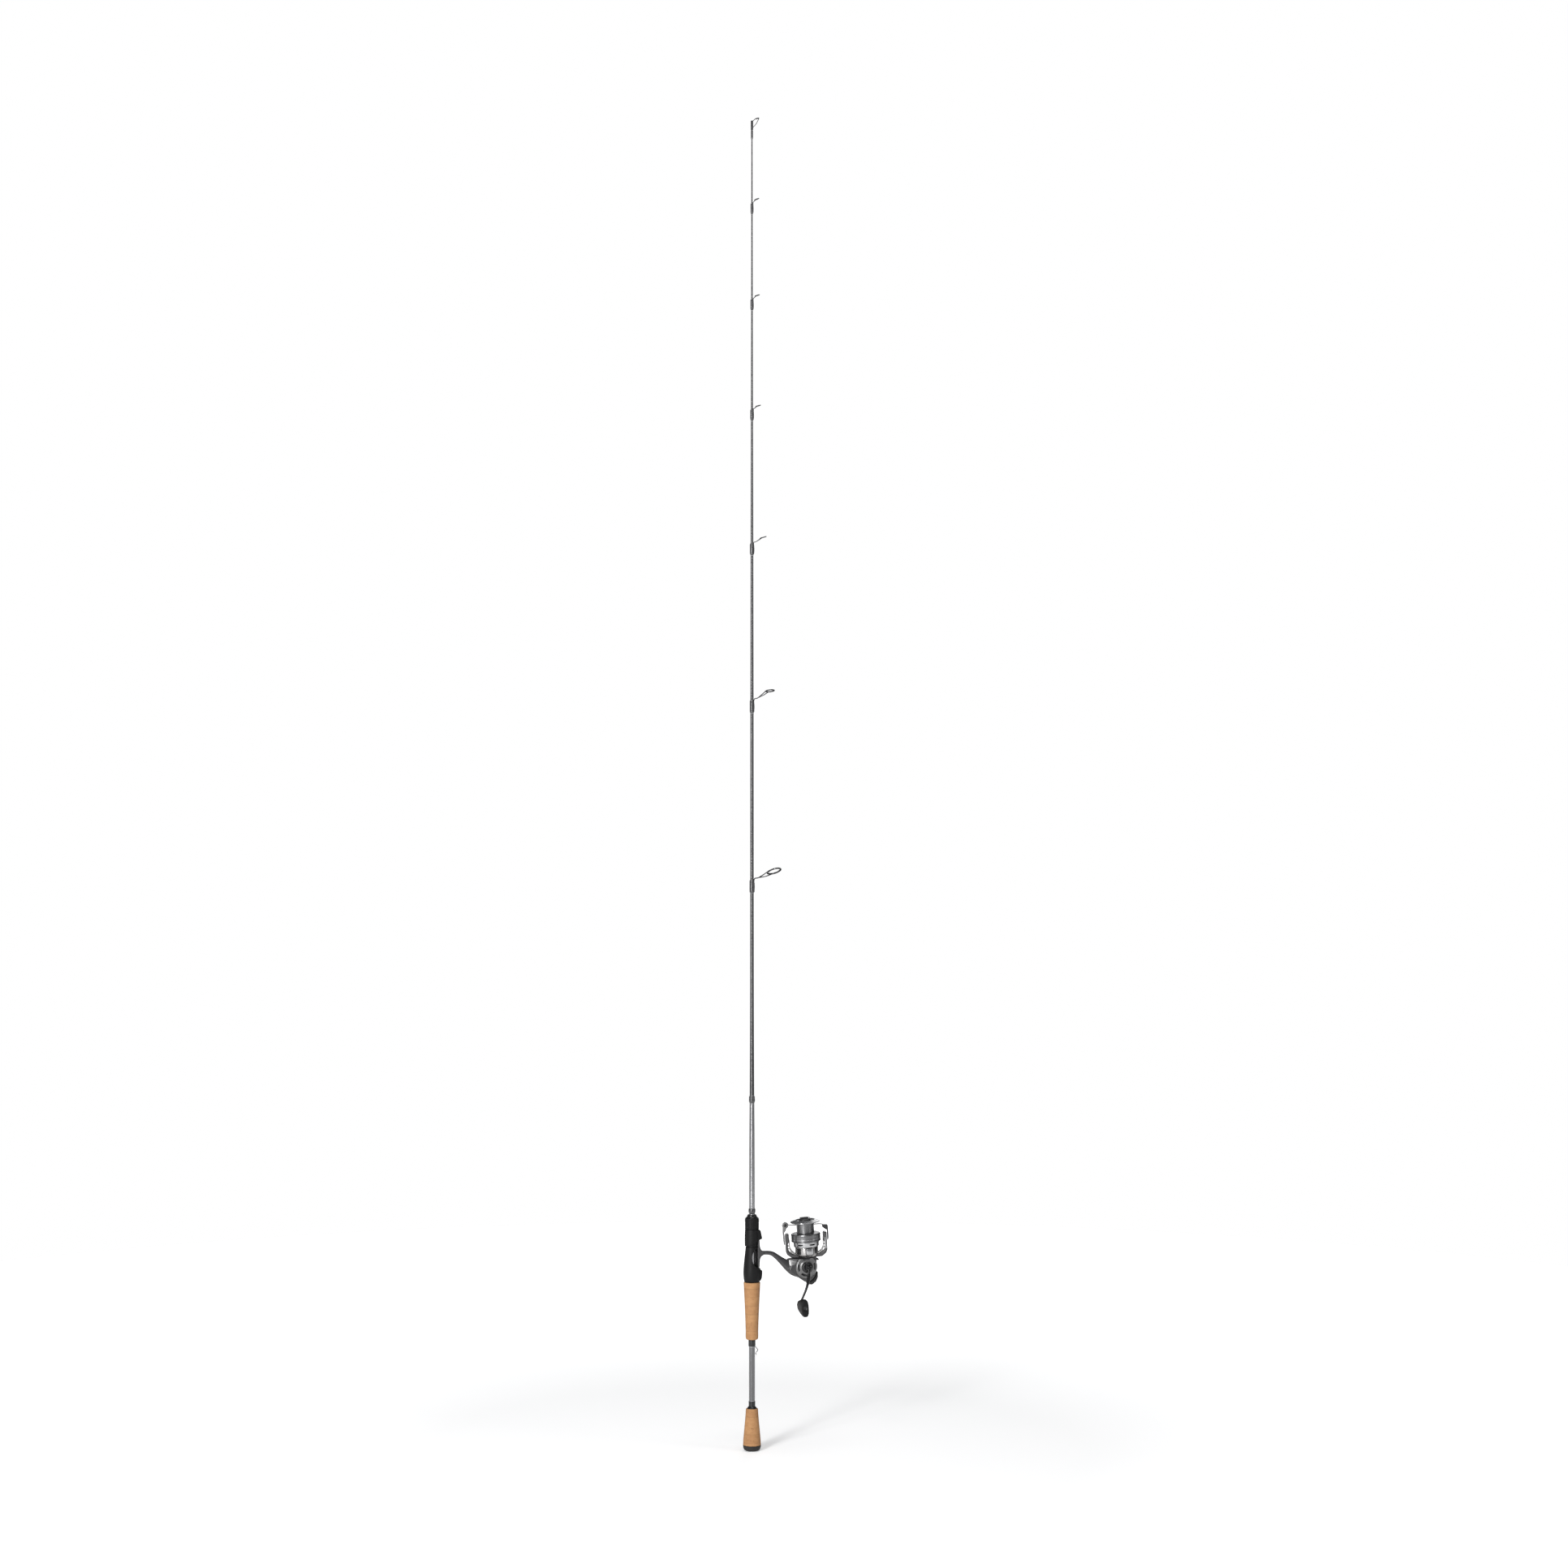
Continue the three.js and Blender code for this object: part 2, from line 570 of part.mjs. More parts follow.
function bailLever() {
  const hub = turned([[0, 0], [5, 0], [5, 1.3], [4, 2.3], [0, 2.3]], 20)
    .rotateY(Math.PI / 2).translate(LEVER.inner, 0, PIVOT_HEIGHT);
  const blade = plate([
    [LEVER.inner, 36.6], [LEVER.inner + 1.6, 36], [LEVER.outer, 42], [LEVER.outer, 56],
    [LEVER.outer - 1.6, 59.4], [25.4, 60], [24.4, 57.4], [28.6, 54.6], [LEVER.inner, 52.4],
  ], -3.6, 3.6, 0.9);
  const stud = new THREE.CylinderGeometry(1.6, 1.6, 3.4, 12).rotateZ(Math.PI / 2)
    .translate(LEVER.inner - 1.4, 0, PIVOT_HEIGHT);
  return join(hub, blade, stud);
}

function bailWire() {
  const wire = swept([
    [ROLLER.x, 5.4, ROLLER.z - 0.3], [-29.4, 16, 60], [-22.8, 28.6, 57.4], [-11, 35, 55.6],
    [0, 36.8, 55], [11, 35, 55.4], [21.6, 29, 56.2], [26.8, 17, 57], [27.4, 4.3, 57.6],
  ], 0.8, { steps: 18, sides: 5 });
  const collar = turnedY([[1.7, 4.2], [3.2, 4.2], [3.2, 5.2], [1.6, 7.6], [0, 7.6], [0, 6.2],
    [1.7, 6.2], [1.7, 4.2]], 16).translate(ROLLER.x, 0, ROLLER.z);
  const hole = discY(1.7, 3, 5.8, 14).translate(ROLLER.x, 0, ROLLER.z);
  return cut(join(wire, collar), hole);
}

function lineRoller() {
  return turnedY([
    [ROLLER.bore, -3.4], [ROLLER.radius + 0.5, -3.4], [ROLLER.radius + 0.3, -2.2],
    [ROLLER.radius - 0.7, -0.4], [ROLLER.radius - 0.7, 1], [ROLLER.radius + 0.3, 3.2],
    [ROLLER.radius + 0.3, 3.9], [ROLLER.bore, 3.9], [ROLLER.bore, -3.4],
  ], 20);
}

function rollerScrew() {
  return turnedY([[0, -8.4], [2.2, -8.4], [3, -7.6], [3, -6.7], [1.4, -6.7], [1.4, 5.5], [0, 5.5]],
    16);
}

function bailSpring() {
  const turns = 2.5;
  const points = [];
  for (let step = 0; step <= turns * 8; step += 1) {
    const angle = (step / 8) * 2 * Math.PI;
    points.push([28.2 + (step / (turns * 8)) * 2.4, 3.1 * Math.cos(angle),
      PIVOT_HEIGHT + 3.1 * Math.sin(angle)]);
  }
  return swept(points, 0.4, { steps: 22, sides: 4 });
}

// ---------------------------------------------------------------- spool

function spool() {
  return turned([
    [2, 47.6], [19.4, 47.6], [20.4, 46.4], [20.4, 37.4], [17.9, 36.2], [17.8, 29.4], [18.7, 29],
    [19.4, 36], [21.9, 37], [21.9, 47], [21.4, 48.6], [13.1, 49.2], [13.1, 63.4], [14.6, 64.4],
    [21.6, 64.6], [21.9, 65.8], [15.6, 68.4], [14.4, 68.6], [14, 66.8], [9.6, 66.8], [9.6, 55],
    [2, 55], [2, 47.6],
  ], 24);
}

function dragWashers() {
  return turned([
    [2, 55.4], [9.1, 55.4], [9.1, 57], [8.2, 57.2], [9.1, 57.4], [9.1, 59], [8.2, 59.2],
    [9.1, 59.4], [9.1, 61], [8.2, 61.2], [9.1, 61.4], [9.1, 63], [2, 63], [2, 55.4],
  ], 16);
}

function dragKnob() {
  const base = turned([
    [2, 63.4], [8.2, 63.4], [8.2, 67.2], [9.1, 67.4], [9.1, 69.4], [7.4, 70.2], [0, 70.2],
    [0, 69.4], [2, 69.4], [2, 63.4],
  ], 28);
  const grip = block(-7, 7, -2.6, 2.6, 69.8, 72.4);
  return join(base, grip);
}

function mainShaft() {
  return turned([
    [0, -14], [MAIN_SHAFT_RADIUS, -14], [MAIN_SHAFT_RADIUS, 46.2], [1.7, 46.2], [1.7, 47.2],
    [MAIN_SHAFT_RADIUS, 47.2], [MAIN_SHAFT_RADIUS, 69], [0, 69],
  ], 14);
}

// ---------------------------------------------------------------- crank

// A cylinder about the folding joint's axis.
function foldRound(radius, length, sides = 12) {
  return new THREE.CylinderGeometry(radius, radius, length, sides).rotateZ(Math.PI / 2)
    .translate(0, FOLD.y, 0);
}

function handleHub() {
  const cup = turnedY([
    [0, -22.4], [7, -22.4], [8.3, -21.4], [8.3, -16.8], [2.9, -16.8], [2.9, -19.8], [0, -19.8],
  ], 28);
  const ears = [-3, 3].flatMap((x) => [
    block(x - 1.1, x + 1.1, FOLD.y, -21.6, -FOLD.ear, FOLD.ear),
    foldRound(FOLD.ear, 2.2, 20).translate(x, 0, 0),
  ]);
  return cut(join(cup, ...ears), foldRound(FOLD.bore, 14));
}

function foldPin() {
  return foldRound(FOLD.bore - GAP, 8.6);
}

function handleArm() {
  const lug = foldRound(FOLD.lug, 3.2, 16);
  const bar = swept([
    [0, FOLD.y - 0.2, -0.4], [-0.4, FOLD.y - 0.6, -7.6], [-1.8, -29.4, -13.6], [-3.6, -33.9, -20],
    [-7.2, -36.8, -26.6], [-12.2, -38.2, -35.4], [-17.6, -39.4, -44.6], [KNOB.x, KNOB.eye + 2.3, KNOB.z],
  ], 2.5, { steps: 14, sides: 8, flat: 0.75 });
  const eye = discY(4, KNOB.eye, KNOB.eye + 3.2, 18).translate(KNOB.x, 0, KNOB.z);
  const knobPin = discY(1.6, KNOB.end + 4.6, KNOB.eye + 1, 12).translate(KNOB.x, 0, KNOB.z);
  const earRoom = [block(1.6, 6, -30, -20, -4.2, 5), block(-6, -1.6, -30, -20, -4.2, 5)];
  return cut(join(lug, bar, eye, knobPin), foldRound(FOLD.bore, 14), ...earRoom);
}

function handleKnob() {
  const paddle = turnedY([
    [0, KNOB.end], [10, KNOB.end], [12.6, KNOB.end + 1.6], [13, KNOB.end + 4],
    [11, KNOB.base - 12], [8.4, KNOB.base - 5], [8.2, KNOB.base], [0, KNOB.base],
  ], 20).scale(0.44, 1, 1);
  const neck = discY(4, KNOB.end + 6, KNOB.base + 2, 20);
  const bore = discY(1.9, KNOB.end + 3.1, -20, 14);
  const capRoom = discY(3.9, KNOB.end - 10, KNOB.end + 3.3, 18);
  return cut(join(paddle, neck), bore, capRoom);
}

// ---------------------------------------------------------------- assembly

addTo(model, 'rod_blank', rodBlank(), BLANK_BLACK);
addTo(model, 'butt_cap', buttCap(), SOFT_BLACK);
addTo(model, 'butt_grip', buttGrip(), CORK);
addTo(model, 'butt_collar', sleeve([[7.6, 62.9], [6, 64.8], [4.95, 66], [4.95, 73.2]]), SOFT_BLACK);
addTo(model, 'rear_collar', sleeve([[5.25, 155.2], [5.25, 164.5]]), SOFT_BLACK);
addTo(model, 'rear_grip', sleeve([
  [5.9, 164.8], [9.15, 166.9], [9.4, 178], [10, 196], [10.9, 218], [12, 240], [12.35, 249.2],
  [11.9, 250],
]), CORK);
addTo(model, 'hook_keeper', hookKeeper(), STEEL);
addTo(model, 'reel_seat', reelSeat(), SOFT_BLACK);
addTo(model, 'seat_hood', seatHood(), SOFT_BLACK);
addTo(model, 'seat_nut', seatNut(), SOFT_BLACK);
addTo(model, 'nut_cone', turned([[5.6, 345.9], [9, 345.9], [7.35, 347.4], [6.4, 350.6], [5.6, 350.6],
  [5.6, 345.9]]), GLOSS_BLACK);
addTo(model, 'front_wrap', threadWrap([351.6, 359.6, 5.2]), GLOSS_BLACK);
addTo(model, 'colour_wrap', threadWrap([516, 526.6, 4.5]), GLOSS_BLACK);

GUIDES.forEach((guide, i) => {
  const around = i < 2 ? 20 : 14;
  addTo(model, `guide_${i + 1}_frame`, guideFrame(guide, around, 4), GLOSS_BLACK);
  addTo(model, `guide_${i + 1}_ring`, guideInsert(guide, around), CERAMIC);
  if (i < WRAPPED_GUIDES) {
    addTo(model, `guide_${i + 1}_wrap`, threadWrap(guide.wrap, guide.tube * 1.4), GLOSS_BLACK);
  }
});
addTo(model, 'tip_frame', tipFrame(), GLOSS_BLACK);
addTo(model, 'tip_ring', guideInsert(TIP, 14), CERAMIC);

model.add(reelFrame);
reelFrame.add(spoolLine);
addTo(reelFrame, 'reel_body', reelBody(), DARK_GUNMETAL);
addTo(reelFrame, 'side_cover', sideCover(), GUNMETAL);
addTo(reelFrame, 'rear_cap', rearCap(), SOFT_BLACK);
addTo(reelFrame, 'anti_reverse_lever', antiReverseLever(), SOFT_BLACK);
addTo(reelFrame, 'drive_gear', driveGear(), BRASS);
addTo(reelFrame, 'handle_shaft', handleShaft(), STEEL);
addTo(reelFrame, 'drive_bearing', tubeY(3.2, 5, 9.4, 11.4, 20), STEEL);
addTo(reelFrame, 'oscillation_gear', oscillationGear(), BRASS)
  .position.set(OSCILLATION.x, 0, OSCILLATION.z);
addTo(reelFrame, 'oscillation_slider', oscillationSlider(), SILVER);
addTo(reelFrame, 'far_side_cap', turnedY([[0, 13.7], [7, 13.7], [7, 15.4], [5.6, 16.6], [0, 16.6]]),
  SOFT_BLACK);

addTo(spoolLine, 'main_shaft', mainShaft(), STEEL);
addTo(spoolLine, 'front_bearing', tube(3.2, 6.5, 13.3, 16.1, 20), STEEL);
addTo(spoolLine, 'one_way_clutch', tube(3.2, 8.2, 16.7, 21.6, 20), STEEL);
addTo(spoolLine, 'pinion_gear', pinionGear(), BRASS);
addTo(spoolLine, 'spool', spool(), SILVER);
addTo(spoolLine, 'drag_washers', dragWashers(), FELT);
addTo(spoolLine, 'drag_knob', dragKnob(), SOFT_BLACK);

const rotorGroup = new THREE.Group();
rotorGroup.rotation.z = ROTOR_YAW;
spoolLine.add(rotorGroup);
addTo(rotorGroup, 'rotor', rotor(), GUNMETAL);
addTo(rotorGroup, 'rotor_nut', rotorNut(), STEEL);
addTo(rotorGroup, 'bail_arm', bailArm(), GUNMETAL);
addTo(rotorGroup, 'bail_lever', bailLever(), GLOSS_BLACK);
addTo(rotorGroup, 'bail_wire', bailWire(), STEEL);
addTo(rotorGroup, 'roller_screw', rollerScrew(), STEEL).position.set(ROLLER.x, 0, ROLLER.z);
addTo(rotorGroup, 'line_roller', lineRoller(), STEEL).position.set(ROLLER.x, 0, ROLLER.z);
addTo(rotorGroup, 'bail_spring', bailSpring(), STEEL);

addTo(reelFrame, 'handle_hub', handleHub(), SOFT_BLACK);
addTo(reelFrame, 'fold_pin', foldPin(), STEEL);
addTo(reelFrame, 'handle_arm', handleArm(), GLOSS_BLACK);
const knob = addTo(reelFrame, 'handle_knob', handleKnob(), SOFT_BLACK);
knob.position.set(KNOB.x, 0, KNOB.z);
addTo(reelFrame, 'knob_cap', discY(3.6, KNOB.end + 0.3, KNOB.end + 2.7, 16), GLOSS_BLACK)
  .position.set(KNOB.x, 0, KNOB.z);

export default model;
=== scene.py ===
"""A one-piece spinning rod with a front-drag reel: the finished look of every piece."""

import json
import math

import bmesh
import bpy
from mathutils import Matrix, Vector, noise


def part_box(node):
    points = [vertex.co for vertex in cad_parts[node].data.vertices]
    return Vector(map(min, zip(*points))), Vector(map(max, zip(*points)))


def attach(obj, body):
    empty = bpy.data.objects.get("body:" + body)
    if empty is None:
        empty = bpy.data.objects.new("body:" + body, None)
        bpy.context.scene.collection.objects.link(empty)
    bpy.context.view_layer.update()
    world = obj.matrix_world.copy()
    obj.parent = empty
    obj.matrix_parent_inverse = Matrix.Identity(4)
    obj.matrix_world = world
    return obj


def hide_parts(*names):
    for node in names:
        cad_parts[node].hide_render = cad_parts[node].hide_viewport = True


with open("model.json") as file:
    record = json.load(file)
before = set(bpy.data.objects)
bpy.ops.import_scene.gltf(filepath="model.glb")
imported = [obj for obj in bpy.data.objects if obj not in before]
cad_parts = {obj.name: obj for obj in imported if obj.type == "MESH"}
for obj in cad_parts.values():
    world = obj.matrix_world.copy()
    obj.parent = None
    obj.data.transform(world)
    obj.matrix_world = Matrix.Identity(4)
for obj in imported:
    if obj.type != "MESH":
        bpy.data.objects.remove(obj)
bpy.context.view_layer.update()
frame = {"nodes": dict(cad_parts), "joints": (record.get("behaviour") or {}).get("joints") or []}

MM = 0.001


# ---------------------------------------------------------------- camera, light and floor

CAMERA_TURN = math.radians(14)
CAMERA_DISTANCE = 4.6
CAMERA_HEIGHT = 0.99
CAMERA_SIDE = 0.0476
CAMERA_LENS = 71.1
FLOOR_RADIUS = 2.4


def add_camera():
    ahead = Vector((math.sin(CAMERA_TURN), math.cos(CAMERA_TURN), 0))
    right = Vector((math.cos(CAMERA_TURN), -math.sin(CAMERA_TURN), 0))
    data = bpy.data.cameras.new("camera")
    data.lens = CAMERA_LENS
    camera = bpy.data.objects.new("camera", data)
    camera.location = Vector((0, 0, CAMERA_HEIGHT)) - ahead * CAMERA_DISTANCE + right * CAMERA_SIDE
    camera.rotation_euler = (math.pi / 2, 0, -CAMERA_TURN)
    bpy.context.collection.objects.link(camera)
    bpy.context.scene.camera = camera


def add_light(name, place, target, width, height, power):
    data = bpy.data.lights.new(name, "AREA")
    data.shape = "RECTANGLE"
    data.size = width
    data.size_y = height
    data.energy = power
    light = bpy.data.objects.new(name, data)
    light.location = place
    aim = Vector(target) - Vector(place)
    light.rotation_euler = aim.to_track_quat("-Z", "Y").to_euler()
    bpy.context.collection.objects.link(light)


def add_world():
    world = bpy.data.worlds.new("studio")
    world.use_nodes = True
    nodes = world.node_tree.nodes
    links = world.node_tree.links
    nodes.clear()
    room = nodes.new("ShaderNodeBackground")
    room.inputs["Color"].default_value = (0.82, 0.84, 0.88, 1)
    room.inputs["Strength"].default_value = 0.16
    white = nodes.new("ShaderNodeBackground")
    white.inputs["Color"].default_value = (1, 1, 1, 1)
    white.inputs["Strength"].default_value = 1.0
    seen = nodes.new("ShaderNodeLightPath")
    mix = nodes.new("ShaderNodeMixShader")
    output = nodes.new("ShaderNodeOutputWorld")
    links.new(seen.outputs["Is Camera Ray"], mix.inputs["Fac"])
    links.new(room.outputs[0], mix.inputs[1])
    links.new(white.outputs[0], mix.inputs[2])
    links.new(mix.outputs[0], output.inputs[0])
    bpy.context.scene.world = world
    bpy.context.scene.view_settings.view_transform = "Standard"


def floor_finish():
    """Matt white with a painted glow that grows towards its edge, so that it fades into the white of the
    room.
    """
    material = bpy.data.materials.new("floor_white")
    material.use_nodes = True
    nodes = material.node_tree.nodes
    links = material.node_tree.links
    shader = nodes["Principled BSDF"]
    shader.inputs["Base Color"].default_value = (0.93, 0.93, 0.93, 1)
    shader.inputs["Roughness"].default_value = 0.9
    shader.inputs["Specular IOR Level"].default_value = 0
    shader.inputs["Emission Color"].default_value = (1, 1, 1, 1)
    place = nodes.new("ShaderNodeTexCoord")
    reach = nodes.new("ShaderNodeVectorMath")
    reach.operation = "LENGTH"
    # Painted glow: the floor emits light, weakest near its middle and strongest towards its edge.
    fade = nodes.new("ShaderNodeMapRange")
    fade.inputs["From Min"].default_value = 0.5
    fade.inputs["From Max"].default_value = FLOOR_RADIUS * 0.9
    fade.inputs["To Min"].default_value = 0.3
    fade.inputs["To Max"].default_value = 1.0
    links.new(place.outputs["Object"], reach.inputs[0])
    links.new(reach.outputs["Value"], fade.inputs["Value"])
    links.new(fade.outputs["Result"], shader.inputs["Emission Strength"])
    return material


def add_floor():
    turns = [2 * math.pi * i / 96 for i in range(96)]
    rim = [(FLOOR_RADIUS * math.cos(a), FLOOR_RADIUS * math.sin(a), 0) for a in turns]
    mesh = bpy.data.meshes.new("floor")
    mesh.from_pydata(rim, [], [tuple(range(96))])
    floor = bpy.data.objects.new("floor", mesh)
    mesh.materials.append(floor_finish())
    bpy.context.collection.objects.link(floor)


def add_studio():
    add_camera()
    add_world()
    add_floor()
    add_light("key_left", (-2.3, -2.6, 1.5), (0, 0, 0.95), 1.1, 2.6, 84)
    add_light("strip_left", (-1.7, -2.1, 1.1), (0, 0, 1.0), 0.3, 2.2, 34)
    add_light("fill_right", (2.8, -2.4, 1.2), (0, 0, 0.9), 0.7, 2.6, 12)
    add_light("top_soft", (0.2, -0.6, 3.6), (0, 0, 0.5), 1.8, 1.8, 34)
    add_light("rim_back", (1.2, 3.0, 1.8), (0, 0, 0.9), 1.4, 2.4, 18)


# ---------------------------------------------------------------- finishes


class Finish:
    """A Principled material and the few kinds of node that these finishes share."""

    def __init__(self, name, colour, roughness, metallic=0.0):
        self.material = bpy.data.materials.new(name)
        self.material.use_nodes = True
        self.tree = self.material.node_tree
        self.shader = self.tree.nodes["Principled BSDF"]
        self.set("Base Color", (*colour, 1))
        self.set("Roughness", roughness)
        self.set("Metallic", metallic)
        self.colour = colour

    def set(self, socket, value):
        self.shader.inputs[socket].default_value = value

    def add(self, kind, **values):
        node = self.tree.nodes.new(kind)
        for key, value in values.items():
            setattr(node, key, value)
        return node

    def link(self, start, end):
        self.tree.links.new(start, end)

    def point(self, stretch=(1, 1, 1)):
        place = self.add("ShaderNodeTexCoord")
        mapping = self.add("ShaderNodeMapping")
        mapping.inputs["Scale"].default_value = stretch
        self.link(place.outputs["Object"], mapping.inputs["Vector"])
        return mapping.outputs["Vector"]

    def cloud(self, vector, scale, detail=4.0, roughness=0.55):
        texture = self.add("ShaderNodeTexNoise")
        texture.inputs["Scale"].default_value = scale
        texture.inputs["Detail"].default_value = detail
        texture.inputs["Roughness"].default_value = roughness
        self.link(vector, texture.inputs["Vector"])
        return texture.outputs["Fac"]

    def spread(self, value, low, high, to_low=0.0, to_high=1.0):
        node = self.add("ShaderNodeMapRange")
        node.inputs["From Min"].default_value = low
        node.inputs["From Max"].default_value = high
        node.inputs["To Min"].default_value = to_low
        node.inputs["To Max"].default_value = to_high
        self.link(value, node.inputs["Value"])
        return node.outputs["Result"]

    def math(self, operation, first, second):
        node = self.add("ShaderNodeMath", operation=operation)
        for socket, value in zip(node.inputs, (first, second)):
            if isinstance(value, (int, float)):
                socket.default_value = value
            else:
                self.link(value, socket)
        return node.outputs[0]

    def mix(self, factor, first, second):
        node = self.add("ShaderNodeMix", data_type="RGBA")
        self.link(factor, node.inputs["Factor"])
        for socket, value in ((node.inputs[6], first), (node.inputs[7], second)):
            if isinstance(value, tuple):
                socket.default_value = (*value, 1)
            else:
                self.link(value, socket)
        return node.outputs[2]

    def height(self):
        place = self.add("ShaderNodeTexCoord")
        split = self.add("ShaderNodeSeparateXYZ")
        self.link(place.outputs["Object"], split.inputs[0])
        return split.outputs["Z"]

    def bump(self, value, depth, strength=0.6):
        node = self.add("ShaderNodeBump")
        node.inputs["Distance"].default_value = depth
        node.inputs["Strength"].default_value = strength
        self.link(value, node.inputs["Height"])
        self.link(node.outputs["Normal"], self.shader.inputs["Normal"])

    def paint(self, colour):
        self.link(colour, self.shader.inputs["Base Color"])

    def sheen_of(self, value, low, high):
        self.link(self.spread(value, 0.3, 0.7, low, high), self.shader.inputs["Roughness"])

    def varied(self, value, amount):
        dark = tuple(channel * (1 - amount) for channel in self.colour)
        light = tuple(min(1.0, channel * (1 + amount)) for channel in self.colour)
        self.paint(self.mix(self.spread(value, 0.3, 0.7), dark, light))


# The size of a metal paint's flake and the step between two turning lines, in metres.
FLAKE = 0.0004
TURNING = 0.0003


def moulded(name, colour, roughness, grain=0.0012, relief=0.00006, shine=0.5):
    """Moulded or rubbery plastic with a fine spark-eroded grain."""
    look = Finish(name, colour, roughness)
    look.set("Specular IOR Level", shine)
    point = look.point()
    grain_pattern = look.cloud(point, 1 / grain, 3)
    patches = look.cloud(point, 45, 2)
    look.varied(patches, 0.14)
    look.sheen_of(grain_pattern, roughness * 0.88, roughness * 1.15)
    look.bump(grain_pattern, relief, 0.5)
    return look.material


def cast_metal(name, colour, roughness, metallic):
    """Painted die-cast metal with a fine metallic flake under a thin clear coat."""
    look = Finish(name, colour, roughness, metallic)
    look.set("Coat Weight", 0.3)
    look.set("Coat Roughness", 0.18)
    point = look.point()
    flakes = look.cloud(point, 1 / FLAKE, 2, 0.8)
    patches = look.cloud(point, 60, 3)
    look.varied(flakes, 0.1)
    look.sheen_of(patches, roughness - 0.05, roughness + 0.08)
    look.bump(flakes, 0.00001, 0.25)
    return look.material


def turned_metal(name, colour, roughness, metallic=1.0):
    """Metal with the fine circular lines of turning, stacked up its axis."""
    look = Finish(name, colour, roughness, metallic)
    lines = look.cloud(look.point((1, 1, 60)), 0.02 / TURNING, 2)
    patches = look.cloud(look.point(), 80, 2)
    look.varied(patches, 0.06)
    look.sheen_of(lines, max(0.05, roughness - 0.07), roughness + 0.09)
    look.bump(lines, 0.00001, 0.3)
    return look.material


COLOUR_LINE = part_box("colour_wrap")[0].z + 5 * MM
REAR_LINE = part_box("rear_collar")[0].z


def blank_finish():
    """Gloss graphite: silver grey up to the colour line, black above it, darker at the butt."""
    look = Finish("graphite_gloss", (0.03, 0.03, 0.032), 0.22)
    look.set("Coat Weight", 1.0)
    look.set("Coat Roughness", 0.13)
    streaks = look.cloud(look.point((900, 900, 9)), 1, 3)
    fine = look.cloud(look.point((2600, 2600, 60)), 1, 2)
    height = look.height()
    black = look.mix(look.spread(streaks, 0.35, 0.65), (0.014, 0.014, 0.015), (0.034, 0.034, 0.036))
    silver = look.mix(look.spread(streaks, 0.35, 0.65), (0.22, 0.22, 0.226), (0.31, 0.31, 0.318))
    butt = look.mix(look.spread(streaks, 0.35, 0.65), (0.1, 0.1, 0.104), (0.15, 0.15, 0.155))
    below = look.math("LESS_THAN", height, COLOUR_LINE)
    at_butt = look.math("LESS_THAN", height, REAR_LINE)
    look.paint(look.mix(at_butt, look.mix(below, black, silver), butt))
    look.link(look.math("MULTIPLY", below, 0.85), look.shader.inputs["Metallic"])
    look.sheen_of(fine, 0.2, 0.34)
    look.bump(streaks, 0.00002, 0.2)
    return look.material


# The height of one pressed cork ring, in millimetres.
CORK_RING = 12.7


def cork_finish():
    """Natural cork: a new shade for each pressed ring, a mottled grain and dark pores."""
    look = Finish("natural_cork", (0.6, 0.36, 0.17), 0.78)
    point = look.point()
    grain = look.cloud(point, 520, 5, 0.7)
    patches = look.cloud(look.point((1, 1, 1.6)), 110, 3)
    ring = look.add("ShaderNodeTexWhiteNoise", noise_dimensions="1D")
    number = look.math("FLOOR", look.math("DIVIDE", look.height(), CORK_RING * MM), 0)
    look.link(number, ring.inputs["W"])
    shade = look.spread(ring.outputs["Value"], 0, 1, 0.25, 0.75)
    tone = look.math("ADD", look.math("MULTIPLY", patches, 0.7), look.math("MULTIPLY", shade, 0.3))
    body = look.mix(look.spread(tone, 0.3, 0.7), (0.32, 0.155, 0.062), (0.43, 0.228, 0.094))
    mottled = look.mix(look.spread(grain, 0.58, 0.8), body, (0.3, 0.14, 0.054))
    streak = look.cloud(look.point((0.7, 0.7, 1.5)), 300, 2, 0.4)
    scarred = look.mix(look.spread(streak, 0.71, 0.77), mottled, (0.2, 0.084, 0.032))
    pore = look.add("ShaderNodeAttribute", attribute_name="pore")
    look.paint(look.mix(pore.outputs["Fac"], scarred, (0.065, 0.027, 0.014)))
    look.sheen_of(grain, 0.68, 0.88)
    look.bump(grain, 0.00012, 0.5)
    return look.material


def thread_finish(name, colour, metallic=0.0):
    """Wound thread sealed under a glossy coat."""
    look = Finish(name, colour, 0.38, metallic)
    look.set("Coat Weight", 1.0)
    look.set("Coat Roughness", 0.05)
    rows = look.cloud(look.point((60, 60, 3200)), 1, 2)
    look.varied(rows, 0.3)
    look.sheen_of(rows, 0.3, 0.48)
    look.bump(rows, 0.00003, 0.35)
    return look.material


def ceramic_finish():
    look = Finish("black_ceramic", (0.018, 0.018, 0.02), 0.1)
    clouds = look.cloud(look.point(), 300, 2)
    look.set("IOR", 1.9)
    look.varied(clouds, 0.2)
    look.sheen_of(clouds, 0.07, 0.15)
    return look.material


def felt_finish():
    look = Finish("drag_felt", (0.45, 0.44, 0.4), 0.95)
    look.set("Sheen Weight", 0.4)
    fibres = look.cloud(look.point((1, 1, 3)), 1800, 3)
    look.varied(fibres, 0.3)
    look.bump(fibres, 0.00008, 0.6)
    return look.material


